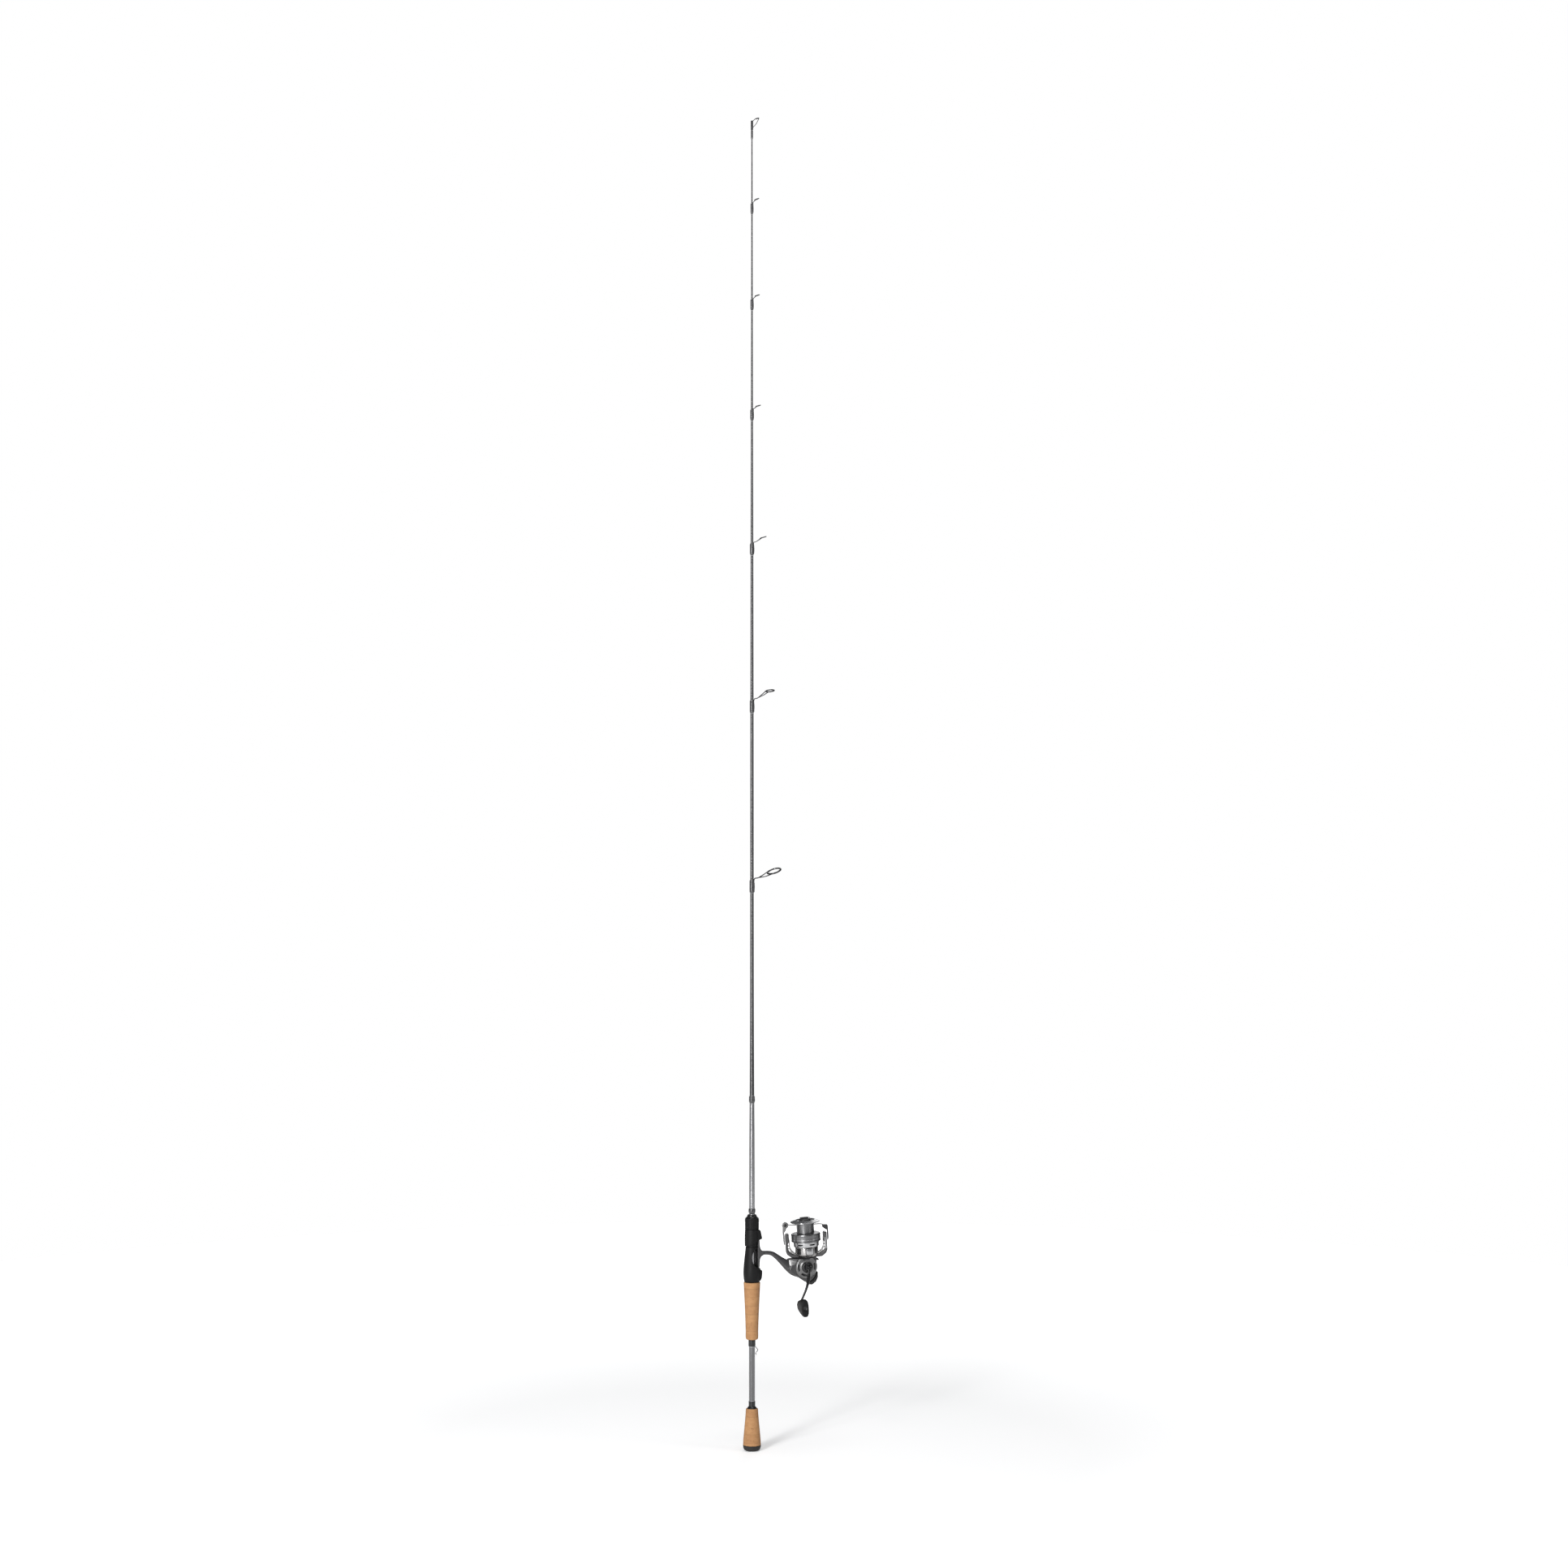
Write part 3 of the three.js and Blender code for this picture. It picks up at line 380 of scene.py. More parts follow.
LOOKS = {
    "blank": blank_finish(),
    "cork": cork_finish(),
    "soft_touch": moulded("soft_touch_black", (0.0065, 0.0065, 0.0068), 0.52, shine=0.17),
    "rubber": moulded("butt_rubber", (0.012, 0.011, 0.01), 0.72, 0.0008, 0.0001),
    "black_trim": moulded("satin_black_trim", (0.006, 0.006, 0.0065), 0.27, 0.0006, 0.000004),
    "black_metal": cast_metal("black_plated_wire", (0.02, 0.02, 0.022), 0.24, 0.4),
    "thread_wrap": thread_finish("black_thread", (0.03, 0.03, 0.032)),
    "silver_thread": thread_finish("silver_thread", (0.4, 0.4, 0.415), 0.7),
    "ring_insert": ceramic_finish(),
    "body_gunmetal": cast_metal("dark_gunmetal", (0.05, 0.049, 0.05), 0.34, 0.5),
    "rotor_gunmetal": cast_metal("silver_gunmetal", (0.3, 0.293, 0.287), 0.24, 0.88),
    "cover_silver": cast_metal("cover_gunmetal", (0.17, 0.168, 0.168), 0.3, 0.7),
    "spool_alloy": turned_metal("anodised_grey", (0.15, 0.15, 0.153), 0.3, 0.85),
    "bright_alloy": turned_metal("cut_alloy", (0.4, 0.4, 0.405), 0.24, 0.95),
    "dark_wire": turned_metal("dark_steel", (0.09, 0.09, 0.092), 0.25, 0.9),
    "drag_plastic": moulded("drag_knob_black", (0.02, 0.02, 0.021), 0.42, 0.0007, 0.00003),
    "bright_steel": turned_metal("polished_steel", (0.7, 0.7, 0.72), 0.16),
    "gear_brass": turned_metal("gear_brass", (0.7, 0.53, 0.27), 0.28),
    "zinc": cast_metal("raw_zinc", (0.48, 0.48, 0.49), 0.4, 0.8),
    "felt": felt_finish(),
}


# ---------------------------------------------------------------- places

JOINTS = {joint["name"]: joint for joint in frame["joints"]}


def joint_place(name):
    return Vector(JOINTS[name]["pos_m"])


def joint_axis(name):
    return Vector(JOINTS[name]["axis"]).normalized()


def axes_at(origin, across, aside, up):
    place = Matrix.Identity(4)
    for column, axis in enumerate((across, aside, up)):
        for row in range(3):
            place[row][column] = axis[row]
    place.translation = origin
    return place


ASIDE = joint_axis("handle_spin")
UP = joint_axis("rotor_spin")
ACROSS = ASIDE.cross(UP)
ROTOR_ACROSS = joint_axis("bail_flip")

ROD = Matrix.Identity(4)
REEL = axes_at(joint_place("handle_spin"), ACROSS, ASIDE, UP)
SPOOL = axes_at(joint_place("rotor_spin"), ACROSS, ASIDE, UP)
ROTOR = axes_at(joint_place("rotor_spin"), ROTOR_ACROSS, UP.cross(ROTOR_ACROSS), UP)
KNOB = axes_at(joint_place("knob_spin"), ACROSS, ASIDE, UP)


# ---------------------------------------------------------------- making shapes, in millimetres


def new_object(name, mesh):
    piece = bpy.data.objects.new(name, mesh)
    bpy.context.collection.objects.link(piece)
    return piece


def from_bmesh(name, work):
    bmesh.ops.recalc_face_normals(work, faces=work.faces)
    mesh = bpy.data.meshes.new(name)
    work.to_mesh(mesh)
    work.free()
    return new_object(name, mesh)


def settle(piece):
    """Turns a piece with its modifiers into a plain mesh."""
    bpy.context.view_layer.update()
    view = bpy.context.evaluated_depsgraph_get()
    mesh = bpy.data.meshes.new_from_object(piece.evaluated_get(view))
    piece.modifiers.clear()
    piece.data = mesh
    return piece


def smooth(points, steps=6, closed=False):
    """More points on an even curve through the given ones."""
    count = len(points)
    spans = count if closed else count - 1
    result = []
    for i in range(spans):
        if closed:
            quad = [points[(i + k) % count] for k in (-1, 0, 1, 2)]
        else:
            quad = [points[min(max(i + k, 0), count - 1)] for k in (-1, 0, 1, 2)]
        for step in range(steps):
            result.append(spline_point(quad, step / steps))
    if not closed:
        result.append(tuple(points[-1]))
    return result


def spline_point(quad, t):
    weights = (
        (-t**3 + 2 * t**2 - t) / 2,
        (3 * t**3 - 5 * t**2 + 2) / 2,
        (-3 * t**3 + 4 * t**2 + t) / 2,
        (t**3 - t**2) / 2,
    )
    size = len(quad[0])
    return tuple(sum(w * p[k] for w, p in zip(weights, quad)) for k in range(size))


def soften(outline, radius, closed=False, steps=4):
    """A flat outline with its corners rounded."""
    if not radius:
        return [tuple(corner) for corner in outline]
    count = len(outline)
    result = []
    for i, corner in enumerate(outline):
        if not closed and i in (0, count - 1):
            result.append(tuple(corner))
            continue
        here = Vector(corner)
        back = Vector(outline[i - 1]) - here
        onward = Vector(outline[(i + 1) % count]) - here
        reach = min(radius, 0.45 * back.length, 0.45 * onward.length)
        start = here + back.normalized() * reach
        end = here + onward.normalized() * reach
        for step in range(steps + 1):
            t = step / steps
            point = start * (1 - t) ** 2 + here * 2 * t * (1 - t) + end * t**2
            result.append(tuple(point))
    return result


def bridge(work, low, high):
    """Faces between two rings of points, either of which may be a single point."""
    count = max(len(low), len(high))
    for i in range(count):
        j = (i + 1) % count
        corners = [low[i % len(low)], low[j % len(low)], high[j % len(high)], high[i % len(high)]]
        unique = list(dict.fromkeys(corners))
        if len(unique) > 2:
            work.faces.new(unique)


def turned(name, profile, sides=64, round_off=0.3, closed=False):
    """A turned piece about +Z from [radius, height] points."""
    outline = soften([tuple(point) for point in profile], round_off, closed)
    work = bmesh.new()
    rings = []
    for radius, height in outline:
        if radius < 1e-5:
            rings.append([work.verts.new((0, 0, height))])
            continue
        turns = [2 * math.pi * i / sides for i in range(sides)]
        rings.append(
            [work.verts.new((radius * math.cos(a), radius * math.sin(a), height)) for a in turns]
        )
    pairs = list(zip(rings, rings[1:]))
    if closed:
        pairs.append((rings[-1], rings[0]))
    for low, high in pairs:
        bridge(work, low, high)
    return from_bmesh(name, work)


def turned_aside(name, profile, sides=64, round_off=0.3, closed=False):
    """A turned piece about +Y from [radius, y] points."""
    piece = turned(name, profile, sides, round_off, closed)
    piece.data.transform(Matrix.Rotation(-math.pi / 2, 4, "X"))
    return piece


def turned_across(name, profile, sides=64, round_off=0.3):
    """A turned piece about +X from [radius, x] points."""
    piece = turned(name, profile, sides, round_off)
    piece.data.transform(Matrix.Rotation(math.pi / 2, 4, "Y"))
    return piece


def shift(piece, x=0.0, y=0.0, z=0.0):
    piece.data.transform(Matrix.Translation((x, y, z)))
    return piece


def turn(piece, degrees):
    piece.data.transform(Matrix.Rotation(math.radians(degrees), 4, "Z"))
    return piece


def plate(name, outline, near, far, edge=0.0, round_off=0.0):
    """A plate with its outline in XZ, from y = near to y = far, with rounded edges."""
    points = soften(outline, round_off, True) if round_off else outline
    work = bmesh.new()
    ends = [[work.verts.new((x, y, z)) for x, z in points] for y in (near, far)]
    bridge(work, *ends)
    work.faces.new(ends[0])
    work.faces.new(ends[1])
    piece = from_bmesh(name, work)
    if edge:
        bevel_edges(piece, edge, 30)
    return piece


def bevel_edges(piece, width, angle=35, segments=3):
    bevel = piece.modifiers.new("edge", "BEVEL")
    bevel.width = width
    bevel.segments = segments
    bevel.limit_method = "ANGLE"
    bevel.angle_limit = math.radians(angle)
    return settle(piece)


def box(name, x0, x1, y0, y1, z0, z1, edge=0.0):
    outline = [(x0, z0), (x1, z0), (x1, z1), (x0, z1)]
    return plate(name, outline, y0, y1, edge)


def loft(name, stations, aside, around=24, power=2.6, steps=6):
    """A body along a smooth line through [x, y, z, half height, half width] stations."""
    fine = smooth(stations, steps)
    centres = [Vector(station[:3]) for station in fine]
    aside = Vector(aside).normalized()
    work = bmesh.new()
    rings = [[work.verts.new(centres[0])]]
    for i, station in enumerate(fine):
        ahead = centres[min(i + 1, len(fine) - 1)] - centres[max(i - 1, 0)]
        normal = aside.cross(ahead).normalized()
        ring = []
        for k in range(around):
            a = 2 * math.pi * k / around
            tall = math.copysign(abs(math.cos(a)) ** (2 / power), math.cos(a)) * station[3]
            wide = math.copysign(abs(math.sin(a)) ** (2 / power), math.sin(a)) * station[4]
            ring.append(work.verts.new(centres[i] + normal * tall + aside * wide))
        rings.append(ring)
    rings.append([work.verts.new(centres[-1])])
    for low, high in zip(rings, rings[1:]):
        bridge(work, low, high)
    return from_bmesh(name, work)


def fuse(name, parts):
    """One object holding the meshes of several."""
    work = bmesh.new()
    for part in parts:
        work.from_mesh(part.data)
        bpy.data.objects.remove(part)
    mesh = bpy.data.meshes.new(name)
    work.to_mesh(mesh)
    work.free()
    return new_object(name, mesh)


def carve(piece, *tools):
    """Cuts the tools out of a piece."""
    for tool in tools:
        boolean = piece.modifiers.new("cut", "BOOLEAN")
        boolean.operation = "DIFFERENCE"
        boolean.solver = "EXACT"
        boolean.object = tool
        settle(piece)
        bpy.data.objects.remove(tool)
    return piece


def cast(name, parts, grain=0.45, passes=3):
    """Overlapping parts flowed into one skin, as in a casting."""
    whole = fuse(name, parts)
    skin = whole.modifiers.new("skin", "REMESH")
    skin.mode = "VOXEL"
    skin.voxel_size = grain
    flow = whole.modifiers.new("flow", "SMOOTH")
    flow.factor = 0.5
    flow.iterations = passes
    return settle(whole)


# ---------------------------------------------------------------- shapes that repeat or follow a line


class Pattern:
    """A geometry node tree with named inputs."""

    def __init__(self, name, inputs):
        self.tree = bpy.data.node_groups.new(name, "GeometryNodeTree")
        face = self.tree.interface
        face.new_socket("Geometry", in_out="INPUT", socket_type="NodeSocketGeometry")
        for label, kind, value in inputs:
            socket = face.new_socket(label, in_out="INPUT", socket_type=kind)
            socket.default_value = value
        face.new_socket("Material", in_out="INPUT", socket_type="NodeSocketMaterial")
        face.new_socket("Geometry", in_out="OUTPUT", socket_type="NodeSocketGeometry")
        self.given = self.tree.nodes.new("NodeGroupInput")

    def add(self, kind, **values):
        node = self.tree.nodes.new(kind)
        for key, value in values.items():
            setattr(node, key, value)
        return node

    def link(self, start, end):
        self.tree.links.new(start, end)

    def give(self, label, end):
        self.link(self.given.outputs[label], end)

    def finish(self, shape):
        realize = self.add("GeometryNodeRealizeInstances")
        paint = self.add("GeometryNodeSetMaterial")
        result = self.add("NodeGroupOutput")
        self.link(shape, realize.inputs[0])
        self.link(realize.outputs[0], paint.inputs["Geometry"])
        self.give("Material", paint.inputs["Material"])
        self.link(paint.outputs[0], result.inputs[0])
        return self.tree


def ring_pattern():
    """Copies of a shape, evenly turned about +Z."""
    pattern = Pattern("copies_in_a_ring", [("Count", "NodeSocketInt", 12)])
    points = pattern.add("GeometryNodePoints")
    index = pattern.add("GeometryNodeInputIndex")
    share = pattern.add("ShaderNodeMath", operation="DIVIDE")
    angle = pattern.add("ShaderNodeMath", operation="MULTIPLY")
    angle.inputs[1].default_value = 2 * math.pi
    spin = pattern.add("ShaderNodeCombineXYZ")
    copies = pattern.add("GeometryNodeInstanceOnPoints")
    pattern.give("Count", points.inputs["Count"])
    pattern.link(index.outputs[0], share.inputs[0])
    pattern.give("Count", share.inputs[1])
    pattern.link(share.outputs[0], angle.inputs[0])
    pattern.link(angle.outputs[0], spin.inputs["Z"])
    pattern.link(points.outputs[0], copies.inputs["Points"])
    pattern.give("Geometry", copies.inputs["Instance"])
    pattern.link(spin.outputs[0], copies.inputs["Rotation"])
    return pattern.finish(copies.outputs[0])


def row_pattern():
    """Copies of a shape, each a step further on."""
    inputs = [("Count", "NodeSocketInt", 4), ("Step", "NodeSocketVector", (0, 0, 1))]
    pattern = Pattern("copies_in_a_row", inputs)
    points = pattern.add("GeometryNodePoints")
    index = pattern.add("GeometryNodeInputIndex")
    place = pattern.add("ShaderNodeVectorMath", operation="SCALE")
    copies = pattern.add("GeometryNodeInstanceOnPoints")
    pattern.give("Count", points.inputs["Count"])
    pattern.give("Step", place.inputs[0])
    pattern.link(index.outputs[0], place.inputs["Scale"])
    pattern.link(place.outputs[0], points.inputs["Position"])
    pattern.link(points.outputs[0], copies.inputs["Points"])
    pattern.give("Geometry", copies.inputs["Instance"])
    return pattern.finish(copies.outputs[0])


def wire_pattern():
    """A round wire along the edges it is given."""
    inputs = [("Radius", "NodeSocketFloat", 0.5), ("Sides", "NodeSocketInt", 12)]
    pattern = Pattern("wire_along_a_line", inputs)
    line = pattern.add("GeometryNodeMeshToCurve")
    section = pattern.add("GeometryNodeCurvePrimitiveCircle")
    wire = pattern.add("GeometryNodeCurveToMesh")
    wire.inputs["Fill Caps"].default_value = True
    pattern.give("Geometry", line.inputs["Mesh"])
    pattern.give("Radius", section.inputs["Radius"])
    pattern.give("Sides", section.inputs["Resolution"])
    pattern.link(line.outputs[0], wire.inputs["Curve"])
    pattern.link(section.outputs[0], wire.inputs["Profile Curve"])
    return pattern.finish(wire.outputs[0])


def winding_pattern():
    """Thread wound round +Z, from a low radius to a high one."""
    inputs = [
        ("Turns", "NodeSocketFloat", 10.0),
        ("Start Radius", "NodeSocketFloat", 4.0),
        ("End Radius", "NodeSocketFloat", 4.0),
        ("Length", "NodeSocketFloat", 5.0),
        ("Thread", "NodeSocketFloat", 0.15),
    ]
    pattern = Pattern("wound_thread", inputs)
    coil = pattern.add("GeometryNodeCurveSpiral")
    coil.inputs["Resolution"].default_value = 28
    section = pattern.add("GeometryNodeCurvePrimitiveCircle")
    section.inputs["Resolution"].default_value = 6
    wire = pattern.add("GeometryNodeCurveToMesh")
    wire.inputs["Fill Caps"].default_value = True
    pattern.give("Turns", coil.inputs["Rotations"])
    pattern.give("Start Radius", coil.inputs["Start Radius"])
    pattern.give("End Radius", coil.inputs["End Radius"])
    pattern.give("Length", coil.inputs["Height"])
    pattern.give("Thread", section.inputs["Radius"])
    pattern.link(coil.outputs[0], wire.inputs["Curve"])
    pattern.link(section.outputs[0], wire.inputs["Profile Curve"])
    return pattern.finish(wire.outputs[0])


RING = ring_pattern()
ROW = row_pattern()
WIRE = wire_pattern()
WINDING = winding_pattern()


def patterned(piece, tree, material, **values):
    """Runs a pattern on a piece and keeps the result as its mesh."""
    names = {
        item.name: item.identifier
        for item in tree.interface.items_tree
        if item.in_out == "INPUT"
    }
    modifier = piece.modifiers.new("pattern", "NODES")
    modifier.node_group = tree
    modifier[names["Material"]] = LOOKS[material]
    for label, value in values.items():
        modifier[names[label.replace("_", " ")]] = value
    return settle(piece)


def line_mesh(name, points, closed=False):
    count = len(points)
    edges = [(i, (i + 1) % count) for i in range(count if closed else count - 1)]
    mesh = bpy.data.meshes.new(name)
    mesh.from_pydata(points, edges, [])
    return new_object(name, mesh)


def wire(name, points, radius, material, closed=False, steps=8, sides=14):
    fine = smooth(points, steps, closed) if steps else points
    piece = line_mesh(name, fine, closed)
    patterned(piece, WIRE, material, Radius=radius, Sides=sides)
    work = bmesh.new()
    work.from_mesh(piece.data)
    bmesh.ops.recalc_face_normals(work, faces=work.faces)
    work.to_mesh(piece.data)
    work.free()
    return piece


def winding(name, low, high, start_radius, end_radius, thread, material):
    piece = line_mesh(name, [(0, 0, 0), (0, 0, 1)])
    length = high - low - 2 * thread
    turns = max(1, round(length / (1.9 * thread)))
    patterned(
        piece,
        WINDING,
        material,
        Turns=float(turns),
        Start_Radius=start_radius,
        End_Radius=end_radius,
        Length=length,
        Thread=thread,
    )
    return shift(piece, z=low + thread)


# ---------------------------------------------------------------- handing a piece over


def shade(piece, angle=38):
    piece.data.shade_smooth()
    piece.data.set_sharp_from_angle(angle=math.radians(angle))


def hand_over(piece, place, look, body, *nodes, slot=None, angle=38):
    """Puts a finished piece in its place on a body, in place of CAD nodes."""
    piece.data.transform(place @ Matrix.Scale(MM, 4))
    piece.data.materials.clear()
    piece.data.materials.append(LOOKS[look])
    for face in piece.data.polygons:
        face.material_index = 0
    shade(piece, angle)
    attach(piece, body)
    if nodes:
        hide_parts(*nodes)
    return piece


def outside_of(node, least=0.0):
    """[radius, height] points of the outside of a piece turned about the rod, in millimetres."""
    widest = {}
    for vertex in frame["nodes"][node].data.vertices:
        height = round(vertex.co.z / MM, 1)
        radius = math.hypot(vertex.co.x, vertex.co.y) / MM
        widest[height] = max(widest.get(height, 0), radius)
    return [(radius, height) for height, radius in sorted(widest.items()) if radius > least]


# ---------------------------------------------------------------- rod and grips


def make_blank():
    profile = smooth(outside_of("rod_blank", 0.5), 4)
    low = (0, profile[0][1])
    high = (0, profile[-1][1])
    piece = turned("rod_blank_gloss", [low, *profile, high], 40, 0.15)
    hand_over(piece, ROD, "blank", "rod", "rod_blank")


def radius_at(height):
    profile = outside_of("rod_blank", 0.5)
    for (r0, z0), (r1, z1) in zip(profile, profile[1:]):
        if height <= z1:
            return r0 + (r1 - r0) * (height - z0) / (z1 - z0)
    return profile[-1][0]


def make_butt_cap():
    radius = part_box("butt_cap")[1].x / MM
    bowl = smooth(
        [
            (5.8, 1.1), (6.6, 0.15), (8.2, 0), (10.2, 0.7), (11.9, 2.3), (12.9, 4.6), (radius, 7.2),
            (radius, 8.4),
        ],
        5,
    )
    piece = turned("butt_cap_rubber", [(0, 1.1), *bowl, (7, 8.4), (7, 10.6), (0, 10.6)], 96, 0.2)
    hand_over(piece, ROD, "rubber", "rod", "butt_cap", slot="rubber", angle=50)


def cork_sleeve(name, node, least, sides):
    """A cork grip whose skin has ring joints and open pores."""
    rows = smooth(outside_of(node, least), 12)
    bore = radius_at(rows[0][1]) + 0.3
    pitch = 2 * math.pi / sides
    work = bmesh.new()
    pore = work.verts.layers.float.new("pore")
    rings = []
    for radius, height in rows:
        ring = []
        for i in range(sides):
            a = i * pitch
            point = Vector((radius * math.cos(a), radius * math.sin(a), height))
            depth = pore_depth(point)
            joint = ring_joint(height)
            sunk = radius - 0.32 * depth - 0.07 * joint - 0.05 * (noise.noise(point * 0.5) + 1)
            vertex = work.verts.new((sunk * math.cos(a), sunk * math.sin(a), height))
            vertex[pore] = min(1.0, depth + 0.3 * joint)
            ring.append(vertex)
        rings.append(ring)
    for end in (rows[-1][1], rows[0][1]):
        turns = [i * pitch for i in range(sides)]
        rings.append([work.verts.new((bore * math.cos(a), bore * math.sin(a), end)) for a in turns])
    for low, high in zip(rings, rings[1:]):
        bridge(work, low, high)
    bridge(work, rings[-1], rings[0])
    return from_bmesh(name, work)


def pore_depth(point):
    """How deep the cork's skin is pitted at a point, from 0 to 1."""
    stretched = Vector((point.x * 0.55, point.y * 0.55, point.z * 0.95))
    value = noise.noise(stretched) + 0.4 * noise.noise(point * 1.9)
    return min(1.0, max(0.0, (value - 0.72) / 0.1))


def ring_joint(height):
    """1 on the glue line between two cork rings, and 0 away from it."""
    away = abs((height / CORK_RING + 0.5) % 1 - 0.5) * CORK_RING
    return max(0.0, 1 - away / 0.45)


def make_grips():
    for name, node, least in (("butt_cork", "butt_grip", 8.2), ("rear_cork", "rear_grip", 5.6)):
        piece = cork_sleeve(name, node, least, 120)
        hand_over(piece, ROD, "cork", "rod", node, angle=60)


def make_collars():
    for node, round_off in (("butt_collar", 0.5), ("rear_collar", 0.3)):
        loop = collar_loop(outside_of(node, 4.8))
        piece = turned(node + "_moulding", loop, 64, round_off, True)
        hand_over(piece, ROD, "black_trim", "rod", node)


def collar_loop(outside):
    low = outside[0][1]
    high = outside[-1][1]
    return [(radius_at(low) + 0.1, low), *outside, (radius_at(high) + 0.1, high)]


TRIM_THREAD = 0.16


def make_trims():
    """Bands of silver thread where one finish ends and the next begins."""
    low_wrap, high_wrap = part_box("colour_wrap")
    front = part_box("front_wrap")[1].z / MM
    bands = [
        ("butt_trim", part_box("butt_collar")[1].z / MM + 0.3, 1.2),
        ("rear_trim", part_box("rear_collar")[0].z / MM - 1.5, 1.2),
        ("front_trim", front + 0.2, 1.1),
        ("colour_trim_low", low_wrap.z / MM - 1.2, 1.0),
        ("colour_trim_high", high_wrap.z / MM + 0.2, 1.0),
    ]
    for name, low, length in bands:
        radius = radius_at(low) + TRIM_THREAD * 0.6
        piece = winding(name, low, low + length, radius, radius, TRIM_THREAD, "silver_thread")
        hand_over(piece, ROD, "silver_thread", "rod", slot="thread_wrap")


def make_hook_keeper():
    line = [
        (4.7, 0, 154), (5.8, 0, 153.4), (8.7, 0, 149.9), (9, 0, 149.1), (8.7, 0, 148.3),
        (6, 0, 144.9), (5.7, 0, 143.9), (6.9, 0, 142.1),
    ]
    piece = wire("hook_keeper_wire", line, 0.5, "dark_wire")
    hand_over(piece, ROD, "dark_wire", "rod", "hook_keeper", slot="bright_steel")


# ---------------------------------------------------------------- reel seat

SCOOP = (14.2, 286.8, 16.6)
BARREL = 8.4


def scoop_tool(name):
    x, z, radius = SCOOP
    tool = turned_aside(name, [(0, -20), (radius, -20), (radius, 20), (0, 20)], 160, 0)
    shift(tool, x=x, z=z)
    return carve(tool, box("keep", 10.9, 34, -22, 22, 250, 269.5))


def make_reel_seat():
    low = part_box("reel_seat")[0].z / MM
    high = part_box("reel_seat")[1].z / MM
    shape = smooth(
        [
            (11.4, 251.4), (12.2, 255), (12.75, 261), (12.8, 267), (12.2, 276), (11.2, 286),
            (10.15, 296), (9.5, 302.6),
        ],
        6,
    )
    body = turned(
        "seat_body",
        [(4.5, low), (10.6, low), *shape, (BARREL, 303.4), (BARREL, high), (4.5, high)],
        120,
        0.25,
        True,
    )
    hood = plate(
        "seat_fixed_hood",
        [(5, 252.6), (11.4, 252.6), (13.6, 257), (14.2, 263), (14.2, 267.6), (13, 268.6), (5, 268.6)],
        -7.6,
        7.6,
        1.3,
        0.8,
    )
    web = box("seat_web", 4.9, 7.3, -3.6, 3.6, 265, 305, 0.3)
    solid = cast("reel_seat_moulding", [body, hood], 0.4, 2)
    carve(solid, scoop_tool("scoop"))
    carve(solid, box("foot_bed", 7.3, 11.3, -7.1, 7.1, 263.2, 325))
    carve(solid, turned("bore", [(0, 240), (4.55, 240), (4.55, 350), (0, 350)], 64, 0))
    piece = fuse("reel_seat_soft", [solid, web])
    hand_over(piece, ROD, "soft_touch", "rod", "reel_seat", slot="soft_touch")


def make_seat_hood():
    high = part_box("seat_hood")[1]
    bottom = 304.0
    top = high.z / MM
    radius = high.y / MM
    lip = high.x / MM
    barrel = turned(
        "hood_round",
        [
            (0, bottom), (radius - 0.2, bottom), (radius, 312), (radius - 0.1, 322),
            (radius - 0.5, top - 0.6), (radius - 0.9, top), (0, top),
        ],
        96,
        0.4,
    )
    beak = plate(
        "hood_beak",
        [
            (4, bottom), (lip - 0.6, bottom), (lip, 311), (lip - 0.1, 314), (lip - 1.1, 320),
            (radius + 0.9, top - 2.6), (radius - 0.2, top - 0.5), (4, top - 0.5),
        ],
        -8.2,
        8.2,
        2.6,
        0.8,
    )
    piece = cast("seat_hood_soft", [barrel, beak], 0.35, 3)
    carve(piece, turned("hood_bore", [(0, 300), (8.7, 300), (8.7, 335), (0, 335)], 96, 0))
    carve(piece, box("hood_pocket", 7.3, 11.3, -7.1, 7.1, 300, 322.9))
    slant = [(-20, 296), (20, 296), (20, 317.2)]
    edge = smooth([(16, 316.2), (9, 313), (3, 309.4), (-4, 306.4), (-12, 303.6), (-20, 301.4)], 5)
    carve(piece, plate("hood_slant", [*slant[:2], *edge], -20, 20))
    hand_over(piece, ROD, "soft_touch", "hood", "seat_hood", slot="soft_touch")


def make_seat_nut():
    low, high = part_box("seat_nut")
    bottom = low.z / MM
    top = high.z / MM
    radius = high.x / MM
    core = turned(
        "nut_core",
        [
            (8.7, bottom), (radius - 0.15, bottom), (radius, bottom + 0.5), (radius - 0.1, bottom + 1.2),
            (radius - 0.5, bottom + 1.9), (radius - 0.5, top - 2.2), (radius - 0.3, top - 1.5),
            (radius - 0.3, top - 0.4), (radius - 0.8, top), (8.7, top),
        ],
        96,
        0.2,
        True,
    )
    rib = box("nut_rib", radius - 1.1, radius - 0.1, -0.6, 0.6, bottom + 1.4, top - 1.8, 0.3)
    ribs = patterned(rib, RING, "soft_touch", Count=26)
    piece = fuse("seat_nut_ribbed", [core, ribs])
    hand_over(piece, ROD, "soft_touch", "nut", "seat_nut", slot="soft_touch")


def make_nut_cone():
    low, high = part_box("nut_cone")
    bottom = low.z / MM
    top = high.z / MM
    outline = [
        (5.6, bottom), (9, bottom), (8.85, bottom + 0.6), (7.7, bottom + 1.3), (7.1, bottom + 2.4),
        (6.7, top - 0.9), (6.3, top), (5.6, top),
    ]
    piece = turned("nut_cone_gloss", outline, 96, 0.3, True)
    hand_over(piece, ROD, "black_trim", "nut", "nut_cone")


# ---------------------------------------------------------------- wraps and guides

